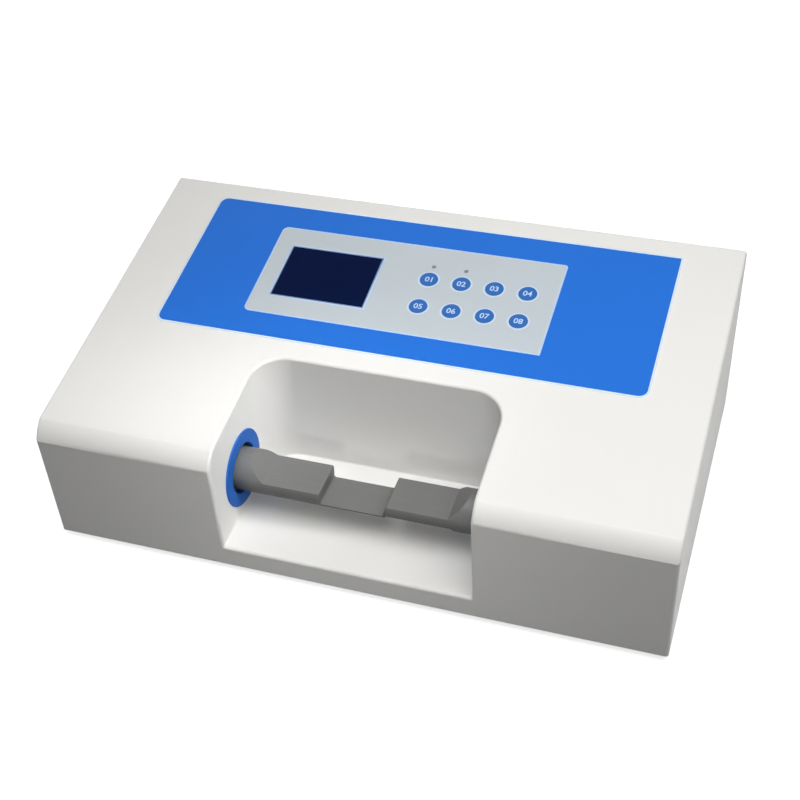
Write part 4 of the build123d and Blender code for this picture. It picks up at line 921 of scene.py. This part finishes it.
class TESTER_OT_panel(bpy.types.Operator):
    """Finish the overlay sheets, the display and the printed lines"""
    bl_idname = "tester.panel"
    bl_label = "Panel"

    def execute(self, context):
        look = context.scene.tester_panel
        coat(printed_film("blue_film", look.overlay), "blue_overlay")
        coat(printed_film("grey_film", look.field), "keypad_field")
        coat(display_glass(look), "display_window")
        sheet, field, window = (Face(node, UP) for node in ("blue_overlay", "keypad_field", "display_window"))
        pale = ink("line_ink", look.line)
        clear = ink("margin_ink", look.margin)
        darker = ink("border_ink", look.border)
        margin, width, border = look.margin_width, look.line_width, look.border_width
        printed = 2 * look.print_height
        film = sheet.spread()[2]
        proud = window.height - field.height
        self.line("overlay_margin", sheet, margin / 2, -film / 2, margin, film, clear)
        self.line("field_line", field, -width / 2, 0, width, printed, pale)
        self.line("display_line", window, (border + width) / 2, -proud, width, printed, pale)
        self.line("display_border", window, 0, -proud / 2, border, proud + printed, darker)
        return {"FINISHED"}

    def line(self, name, face, grown, lift, width, thickness, material):
        """A line that follows the outline of a face's node."""
        mesh = strip_along(face.outline(grown, lift), width, thickness, face.normal, material)
        piece(name, mesh, material)


class TESTER_OT_keys(bpy.types.Operator):
    """Finish the keys, with a numeral on each, and the lamps"""
    bl_idname = "tester.keys"
    bl_label = "Keys and lamps"

    RING_UNDER_KEY = 0.3 * MM   # how far the pale ring runs in under its key

    def execute(self, context):
        look = context.scene.tester_panel
        field = Face("keypad_field", UP)
        cap = Face("key_1", UP)
        film = coated(
            "key_film", look.key, roughness=0.3, uneven=0.05, patch=3 * MM,
            grain=0.25 * MM, height=0.002 * MM, detail=2, specular=0.2,
        )
        white_ink = ink("white_ink", look.legend)
        for number, node in enumerate(KEYS, start=1):
            refined(node, film, name=f"{node}_cap")
            mesh = lettering(f"{number:02d}", look.numeral_height, look.print_height)
            placed(mesh, cap.at(middle_of(node)))
            piece(f"{node}_numeral", mesh, white_ink, body_of(node))
        inner, high = cap.spread()[0] / 2 - self.RING_UNDER_KEY, look.print_height
        section = rectangle(inner, inner + look.ring_width, -high, high)
        spots = [(field.on(middle_of(node)), field.normal) for node in KEYS]
        halo = ink("halo_ink", look.halo)
        piece("key_rings", repeated(lathed(section, 48, hollow=True), spots, halo), halo)
        lens = coated("lamp_lens", look.lamp, roughness=0.22, uneven=0.2, patch=0.8 * MM)
        refined("indicator_lamps", lens, name="lamp_lenses")
        return {"FINISHED"}


class TESTER_OT_jaws(bpy.types.Operator):
    """Finish the plunger, the anvil and their rings"""
    bl_idname = "tester.jaws"
    bl_label = "Jaws and rings"

    def execute(self, context):
        look = context.scene.tester_jaws
        steel = milled_steel(look)
        ring = coated(
            "ring_plastic", look.ring, roughness=0.6, uneven=0.04, patch=2 * MM,
            grain=0.3 * MM, height=0.005 * MM, specular=0.2,
        )
        refine(steel, "plunger", "anvil", edge=look.edge)
        refine(ring, "plunger_ring", "anvil_ring")
        return {"FINISHED"}


class TESTER_OT_inside(bpy.types.Operator):
    """Finish the drive, the force sensor and the electronics inside"""
    bl_idname = "tester.inside"
    bl_label = "Inside"

    LEAD = 5 * MM
    THREAD_DEPTH = 1 * MM
    RUN_OUT = 0.3               # plain length at each end of the thread, in leads
    FLANK = 0.27                # what the thread widens to its root, in depths: flanks of 15 degrees

    # The parts on the board are told from each other by how high they stand
    CAPACITOR_ABOVE = 18 * MM
    HEAT_SINK_ABOVE = 12 * MM
    SOCKET_ABOVE = 5 * MM
    PART_EDGE = 0.2 * MM
    LEG_PITCH = 1.27 * MM
    LEG_WIDTH, LEG_REACH, LEG_THICKNESS = 0.4 * MM, 0.8 * MM, 0.5 * MM

    def execute(self, context):
        bronze = metal("bronze", shade(158, 118, 70), roughness=0.34, stretch=(1, 0.1, 0.1))
        aluminium = metal("milled_aluminium", shade(196, 198, 200), roughness=0.36, stretch=(0.1, 1, 0.1))
        ground = metal("ground_steel", shade(170, 172, 174), roughness=0.22, stretch=(0.05, 1, 1))
        nylon = plastic("gear_nylon", shade(226, 220, 202))
        black = plastic("black_plastic", shade(26, 26, 28))
        refine(bronze, "plunger_bush", "drive_nut")
        refine(aluminium, "bearing_block", "drive_bracket", "cell_bracket", "load_cell", "guide_arm")
        refine(ground, "guide_rod", "screw_bearing", "motor_shaft", "gear_motor", "overload_stop")
        instead("lead_screw", "lead_screw_cut", self.lead_screw("lead_screw", ground), ground)
        refine(nylon, "screw_gear", "motor_pinion")
        coat(ground, "board_standoffs", "transformer_strap")
        tracks = striped(
            "solder_mask", shade(22, 96, 58), "X",
            roughness=0.28, uneven=0.25, width=2.54 * MM, height=0.02 * MM, distortion=6.0,
        )
        sheets = striped(
            "laminations", shade(92, 92, 96), "Y",
            roughness=0.5, uneven=0.3, width=0.5 * MM, height=0.05 * MM, metallic=0.6,
        )
        tape = striped(
            "winding_tape", shade(214, 176, 62), "Z", roughness=0.35, uneven=0.1, width=6 * MM, height=0.06 * MM
        )
        coat(tracks, "keypad_board", "main_board")
        coat(black, "display_module", "tact_switches", "limit_switches")
        coat(sheets, "transformer_core")
        coat(tape, "transformer_coil")
        self.board_parts("board_parts", black, aluminium)
        return {"FINISHED"}

    def lead_screw(self, node, material):
        """The screw, turned to the outline of its CAD node, with a trapezoid thread on its far part."""
        middle, (low, high) = middle_of(node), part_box(node)
        rings = set()
        for corner in solids_of(node)[0]:
            out = math.hypot(corner.y - middle.y, corner.z - middle.z)
            rings.add((round(corner.x - low.x, 5), round(out, 5)))
        collar = max(ring[1] for ring in rings)
        start = max(ring[0] for ring in rings if ring[1] == collar)
        outside = max(ring[1] for ring in rings if ring[0] >= start and ring[1] < collar)
        core = outside - self.THREAD_DEPTH
        profile = [(0, 0)]
        while rings:
            along = min(ring[0] for ring in rings)
            ring = min((r for r in rings if r[0] == along), key=lambda r: abs(r[1] - profile[-1][0]))
            rings.remove(ring)
            in_thread = ring[0] >= start and ring[1] <= outside
            profile.append((min(ring[1], core) if in_thread else ring[1], ring[0]))
        profile.append((0, profile[-1][1]))
        run_out, flank = self.RUN_OUT * self.LEAD, self.FLANK * self.THREAD_DEPTH
        length = high.x - low.x - start - 2 * run_out
        thread = run_tree(
            thread_tree(), bpy.data.meshes.new("nothing"), Turns=length / self.LEAD, Length=length,
            Middle_Radius=core + self.THREAD_DEPTH / 2, Depth=self.THREAD_DEPTH,
            Root_Width=self.LEAD / 2 + flank, Crest_Width=self.LEAD / 2 - flank, Material=material,
        )
        whole = shaded(joined(lathed(profile, 48), moved(thread, z=start + run_out)))
        return placed(whole, facing((low.x, middle.y, middle.z), ALONG_X, UP))

    def board_parts(self, node, black, aluminium):
        """Chips, capacitors, sockets and heat sink, each in its own material, with legs on the chips."""
        made = refined(node, black, self.PART_EDGE)
        white = plastic("socket_nylon", shade(222, 218, 204))
        sleeve = plastic("capacitor_sleeve", shade(36, 44, 74), roughness=0.3)
        tin = metal("tin", shade(206, 206, 204), roughness=0.32)
        stands = []
        for corners in solids_of(node):
            low, high = box_of(corners)
            height = high.z - low.z
            inside = self.within(low, high)
            if height > self.CAPACITOR_ABOVE:
                paint(made, sleeve, inside)
                paint(made, aluminium, lambda face: inside(face) and face.normal.z > LOOKS_ALONG)
            elif height > self.HEAT_SINK_ABOVE:
                paint(made, aluminium, inside)
            elif height > self.SOCKET_ABOVE:
                paint(made, white, inside)
            else:
                stands += self.leg_stands(low, high)
        half = self.LEG_WIDTH / 2
        leg = prism(rectangle(-half, half, 0, self.LEG_REACH), 0, self.LEG_THICKNESS)
        beside(node, "chip_legs", joined(*(placed(leg.copy(), stand) for stand in stands)), tin)
        bpy.data.meshes.remove(leg)

    def within(self, low, high):
        """Test for faces whose middle is in a box."""
        slack = 0.05 * MM
        return lambda face: all(
            low[axis] - slack <= face.center[axis] <= high[axis] + slack for axis in range(3)
        )

    def leg_stands(self, low, high):
        """Matrices of a chip's legs, along its two long sides."""
        middle, width, depth = (low + high) / 2, high.x - low.x, high.y - low.y
        count = int(width / self.LEG_PITCH) - 1
        stands = []
        for number in range(count):
            x = middle.x + (number - (count - 1) / 2) * self.LEG_PITCH
            for side in (-1, 1):
                stands.append(facing((x, middle.y + side * depth / 2, low.z), UP, ALONG_X * side))
        return stands


class TESTER_OT_fasteners(bpy.types.Operator):
    """Put real screws in the place of the plain ones"""
    bl_idname = "tester.fasteners"
    bl_label = "Screws"

    def execute(self, context):
        zinc = metal("bright_zinc", shade(186, 188, 192), roughness=0.26)
        lies = {
            "foot_screws": UP, "cover_screws": UP, "board_screws": UP, "frame_screws": UP,
            "panel_screws": Face("keypad_field", UP).normal, "inlet_screws": TO_BACK,
            "motor_screws": ALONG_X, "nut_screws": ALONG_X, "cell_bolts": ALONG_X,
        }
        for node, axis in lies.items():
            instead(node, f"{node}_cut", self.screws(node, axis, zinc), zinc)
        return {"FINISHED"}

    def screws(self, node, axis, material):
        """All the screws of a node as one mesh, each kind made once and repeated."""
        kinds = {}
        for corners in solids_of(node):
            place = ScrewPlace(corners, axis)
            kinds.setdefault(place.kind(), []).append((place.place, place.facing))
        return joined(*(
            repeated(shaded(screw(*kind)), spots, material, math.tau) for kind, spots in sorted(kinds.items())
        ))


class TESTER_OT_rear(bpy.types.Operator):
    """Finish the connectors and the mains switch in the back"""
    bl_idname = "tester.rear"
    bl_label = "Rear connectors"

    EDGE, ROCKER_EDGE = 0.3 * MM, 0.5 * MM

    # The mains inlet: its blades' places across and up from its middle, half their size and the largest
    # face of one, and how far from the inlet's inner end its tags reach
    BLADES = [(-7 * MM, -2 * MM), (7 * MM, -2 * MM), (0, 2 * MM)]
    HALF_BLADE = (1.05 * MM, 2.05 * MM)
    BLADE_FACE = 60 * MM * MM
    TAG_REACH = 7.9 * MM

    # The rocker: the smallest face of an end, and how far above its middle each mark is
    ROCKER_END = 20 * MM * MM
    RING_RISE, BAR_RISE = 4.4 * MM, -4.2 * MM
    MARK_SIZE, MARK_HEIGHT = 3.6 * MM, 0.05 * MM

    # The serial port: half the two widths and the height of its opening, its insert as a share of that,
    # the distance of its contacts in a row, and how far the rows and the posts are from its middle
    NARROW, WIDE, HIGH = 6.65 * MM, 8.05 * MM, 3.55 * MM
    PORT_DEPTH = 2.2 * MM
    INSERT_SHARE = (0.92, 0.88)
    CONTACT_PITCH, CONTACT_ROW = 2.76 * MM, 1.42 * MM
    POST_PLACE = 12.5 * MM

    def execute(self, context):
        black = bpy.data.materials["black_plastic"]
        nickel = metal("nickel", shade(196, 192, 180), roughness=0.24)
        white = ink("rocker_ink", shade(232, 232, 230))
        refine(black, "power_switch", "fuse_holder", edge=self.EDGE)
        refine(black, "switch_rocker", edge=self.ROCKER_EDGE)
        paint(refined("power_inlet", black, self.EDGE), nickel, self.blade_test("power_inlet"))
        self.marks("switch_rocker", white)
        self.serial_port("serial_port", nickel, black)
        return {"FINISHED"}

    def blade_test(self, node):
        """Test for the faces of the mains inlet's blades and tags."""
        low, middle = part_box(node)[0], middle_of(node)

        def metallic(face):
            across, up = face.center.x - middle.x, face.center.z - middle.z
            half_width, half_height = self.HALF_BLADE
            blade = any(abs(across - x) < half_width and abs(up - z) < half_height for x, z in self.BLADES)
            return blade and face.area < self.BLADE_FACE or face.center.y < low.y + self.TAG_REACH

        return metallic

    def marks(self, node, white):
        """Ring and bar on the two ends of the rocker."""
        outwards = [
            face.normal.copy() for face in frame["nodes"][node].data.polygons
            if face.normal.y > LOOKS_ALONG and face.area > self.ROCKER_END
        ]
        upper, lower = (pick(outwards, key=lambda normal: normal.y) for pick in (max, min))
        for text, rise, normal in (("O", self.RING_RISE, upper), ("I", self.BAR_RISE, lower)):
            mesh = lettering(text, self.MARK_SIZE, self.MARK_HEIGHT)
            placed(mesh, Face(node, normal).at(middle_of(node) + UP * rise))
            piece(f"rocker_mark_{text}", mesh, white, body_of(node))

    def serial_port(self, node, nickel, black):
        """Nine-way port: hollow D-shaped shell, an insert with its contacts, and threaded posts."""
        middle, high, depth = middle_of(node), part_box(node)[1], self.PORT_DEPTH
        stand = facing((middle.x, high.y, middle.z), TO_BACK, -ALONG_X)
        narrow, wide, half_height = self.NARROW, self.WIDE, self.HIGH
        opening = [(-narrow, -half_height), (narrow, -half_height), (wide, half_height), (-wide, half_height)]
        pocket = prism(rounded(opening, radius=1.4 * MM), low=-depth, high=MM)
        hole = {"radius": 1.3 * MM, "low": -2 * MM, "high": MM, "steps": 20}
        holes = [moved(pin(**hole), x) for x in (-self.POST_PLACE, self.POST_PLACE)]
        shell = cut(merged_copy(node), *(placed(tool, stand) for tool in (pocket, *holes)))
        instead(node, "serial_shell", shaded(shell), nickel)
        rows = {self.CONTACT_ROW: (-2, -1, 0, 1, 2), -self.CONTACT_ROW: (-1.5, -0.5, 0.5, 1.5)}
        spots = [(step * self.CONTACT_PITCH, y) for y, row in rows.items() for step in row]
        core = [(x * self.INSERT_SHARE[0], y * self.INSERT_SHARE[1]) for x, y in opening]
        well = {"radius": 0.55 * MM, "low": -1.6 * MM, "high": MM, "steps": 14}
        wells = [moved(pin(**well), x, y) for x, y in spots]
        insert = cut(prism(rounded(core, radius=1.1 * MM), low=-depth, high=-0.5 * MM), *wells)
        beside(node, "serial_insert", placed(insert, stand), black)
        contact = lathed([(0, -1.7 * MM), (0.4 * MM, -1.7 * MM), (0.4 * MM, -0.9 * MM), (0, -0.7 * MM)], 12)
        places = [(stand @ Vector((x, y, 0)), TO_BACK) for x, y in spots]
        beside(node, "serial_contacts", repeated(shaded(contact), places, nickel), nickel)


class TESTER_OT_stage(bpy.types.Operator):
    """Set the floor, the lamps, the surroundings and the camera"""
    bl_idname = "tester.stage"
    bl_label = "Stage"

    HALF_FLOOR = 6              # half the floor's width, in metres
    FLOOR_DEPTH = 0.02
    FLOOR_GLOW = 0.75           # what carries the floor to white

    def execute(self, context):
        look = context.scene.tester_stage
        self.floor(look)
        bay_side = middle_of("plunger_ring") + UP * (35 * MM)
        bay_back = (middle_of("plunger_ring") + middle_of("anvil")) / 2 + UP * (10 * MM)
        self.lamp("front_lamp", look.front_power, width=0.6, place=(0, -0.35, 0.9))
        self.lamp("right_lamp", look.right_power, width=0.5, place=(0.3, -0.15, 0.75))
        self.lamp("bay_lamp", look.bay_power, width=0.1, place=(0.5, -0.05, 0.5), target=bay_side, spread=14)
        self.lamp("low_lamp", look.low_power, width=0.2, place=(0.12, -0.9, 0.32), target=bay_back, spread=16)
        self.lamp("back_lamp", look.back_power, width=0.6, place=(-0.5, 1.2, 0.22))
        self.lamp("left_side_lamp", look.left_side_power, width=0.12, place=(-1.2, 0, 0.07))
        self.lamp("right_side_lamp", look.right_side_power, width=0.12, place=(1.2, 0, 0.07))
        self.surroundings(context, look)
        self.camera(context)
        context.scene.view_settings.view_transform = "Standard"
        return {"FINISHED"}

    def floor(self, look):
        """A wide floor: white to the camera, and duller in the light that it gives back."""
        half = self.HALF_FLOOR
        mesh = prism(rectangle(-half, half, -half, half), -self.FLOOR_DEPTH, 0)
        material = bpy.data.materials.new("stage_floor")
        material.use_nodes = True
        nodes = Nodes(material.node_tree)
        nodes.tree.nodes.clear()
        pale = nodes.add("ShaderNodeBsdfDiffuse", Color=(*look.floor, 1))
        glow = nodes.add("ShaderNodeEmission", Strength=self.FLOOR_GLOW)
        seen = nodes.add("ShaderNodeAddShader")
        nodes.link(pale.outputs[0], seen.inputs[0])
        nodes.link(glow.outputs[0], seen.inputs[1])
        unseen = nodes.add("ShaderNodeBsdfDiffuse", Color=(*(look.floor_bounce,) * 3, 1))
        mix = nodes.add("ShaderNodeMixShader")
        for socket, source in enumerate((self.looked_at(nodes), unseen.outputs[0], seen.outputs[0])):
            nodes.link(source, mix.inputs[socket])
        nodes.add("ShaderNodeOutputMaterial", Surface=mix.outputs[0])
        mesh.materials.append(material)
        floor = bpy.data.objects.new("floor", mesh)
        bpy.context.scene.collection.objects.link(floor)

    def looked_at(self, nodes):
        """1 for rays from the camera, and for what gloss and clear parts show."""
        path = nodes.add("ShaderNodeLightPath")
        total = path.outputs["Is Camera Ray"]
        for ray in ("Is Glossy Ray", "Is Transmission Ray"):
            larger = nodes.add("ShaderNodeMath", {"operation": "MAXIMUM"})
            nodes.link(total, larger.inputs[0])
            nodes.link(path.outputs[ray], larger.inputs[1])
            total = larger.outputs[0]
        return total

    def lamp(self, name, power, width, place, target=(0, 0, 0), spread=180):
        """A square soft lamp that faces a target, with its beam narrowed to a spread in degrees."""
        light = bpy.data.lights.new(name, "AREA")
        light.energy = power
        light.size = width
        light.spread = math.radians(spread)
        made = bpy.data.objects.new(name, light)
        made.matrix_world = facing(place, Vector(place) - Vector(target))
        bpy.context.scene.collection.objects.link(made)

    def surroundings(self, context, look):
        """White where it is looked at, and a low even fill as light."""
        world = bpy.data.worlds.new("surroundings")
        world.use_nodes = True
        nodes = Nodes(world.node_tree)
        background = nodes.tree.nodes["Background"].inputs
        background["Color"].default_value = (1, 1, 1, 1)
        strength = nodes.add("ShaderNodeMapRange", Value=self.looked_at(nodes), To_Min=look.fill, To_Max=1.0)
        nodes.link(strength.outputs["Result"], background["Strength"])
        context.scene.world = world

    def camera(self, context):
        """The camera, at the photograph's place and angle."""
        data = bpy.data.cameras.new("camera")
        data.lens = CAMERA_LENS
        data.shift_x, data.shift_y = CAMERA_SHIFT
        data.clip_start, data.clip_end = CAMERA_CLIP
        level = math.cos(CAMERA_ELEVATION)
        ahead = Vector((
            math.sin(CAMERA_AZIMUTH) * level, math.cos(CAMERA_AZIMUTH) * level, -math.sin(CAMERA_ELEVATION)
        ))
        right = ahead.cross(UP).normalized()
        above = right.cross(ahead)
        roll = Matrix.Rotation(-CAMERA_ROLL, 3, ahead)
        axes = Matrix((roll @ right, roll @ above, -ahead)).transposed()
        made = bpy.data.objects.new("camera", data)
        made.matrix_world = Matrix.Translation(CAMERA_PLACE) @ axes.to_4x4()
        context.scene.collection.objects.link(made)
        context.scene.camera = made


STEPS = (
    TESTER_OT_case, TESTER_OT_panel, TESTER_OT_keys, TESTER_OT_jaws, TESTER_OT_inside,
    TESTER_OT_fasteners, TESTER_OT_rear, TESTER_OT_stage,
)
SETTINGS = {
    "tester_case": CaseSettings,
    "tester_panel": PanelSettings,
    "tester_jaws": JawSettings,
    "tester_stage": StageSettings,
}


class TESTER_PT_sidebar(bpy.types.Panel):
    """Settings and steps of the tester"""
    bl_label = "Tablet hardness tester"
    bl_space_type = "VIEW_3D"
    bl_region_type = "UI"
    bl_category = "Tester"

    def draw(self, context):
        for name, group in SETTINGS.items():
            box = self.layout.box()
            for setting in group.__annotations__:
                box.prop(getattr(context.scene, name), setting)
        for step in STEPS:
            self.layout.operator(step.bl_idname)


CLASSES = (*SETTINGS.values(), *STEPS, TESTER_PT_sidebar)


def register():
    for group in CLASSES:
        bpy.utils.register_class(group)
    for name, group in SETTINGS.items():
        setattr(bpy.types.Scene, name, PointerProperty(type=group))


def unregister():
    for name in SETTINGS:
        delattr(bpy.types.Scene, name)
    for group in reversed(CLASSES):
        bpy.utils.unregister_class(group)


def main():
    """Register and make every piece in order."""
    register()
    for step in STEPS:
        section, name = step.bl_idname.split(".")
        getattr(getattr(bpy.ops, section), name)()


if __name__ == "__main__":
    main()
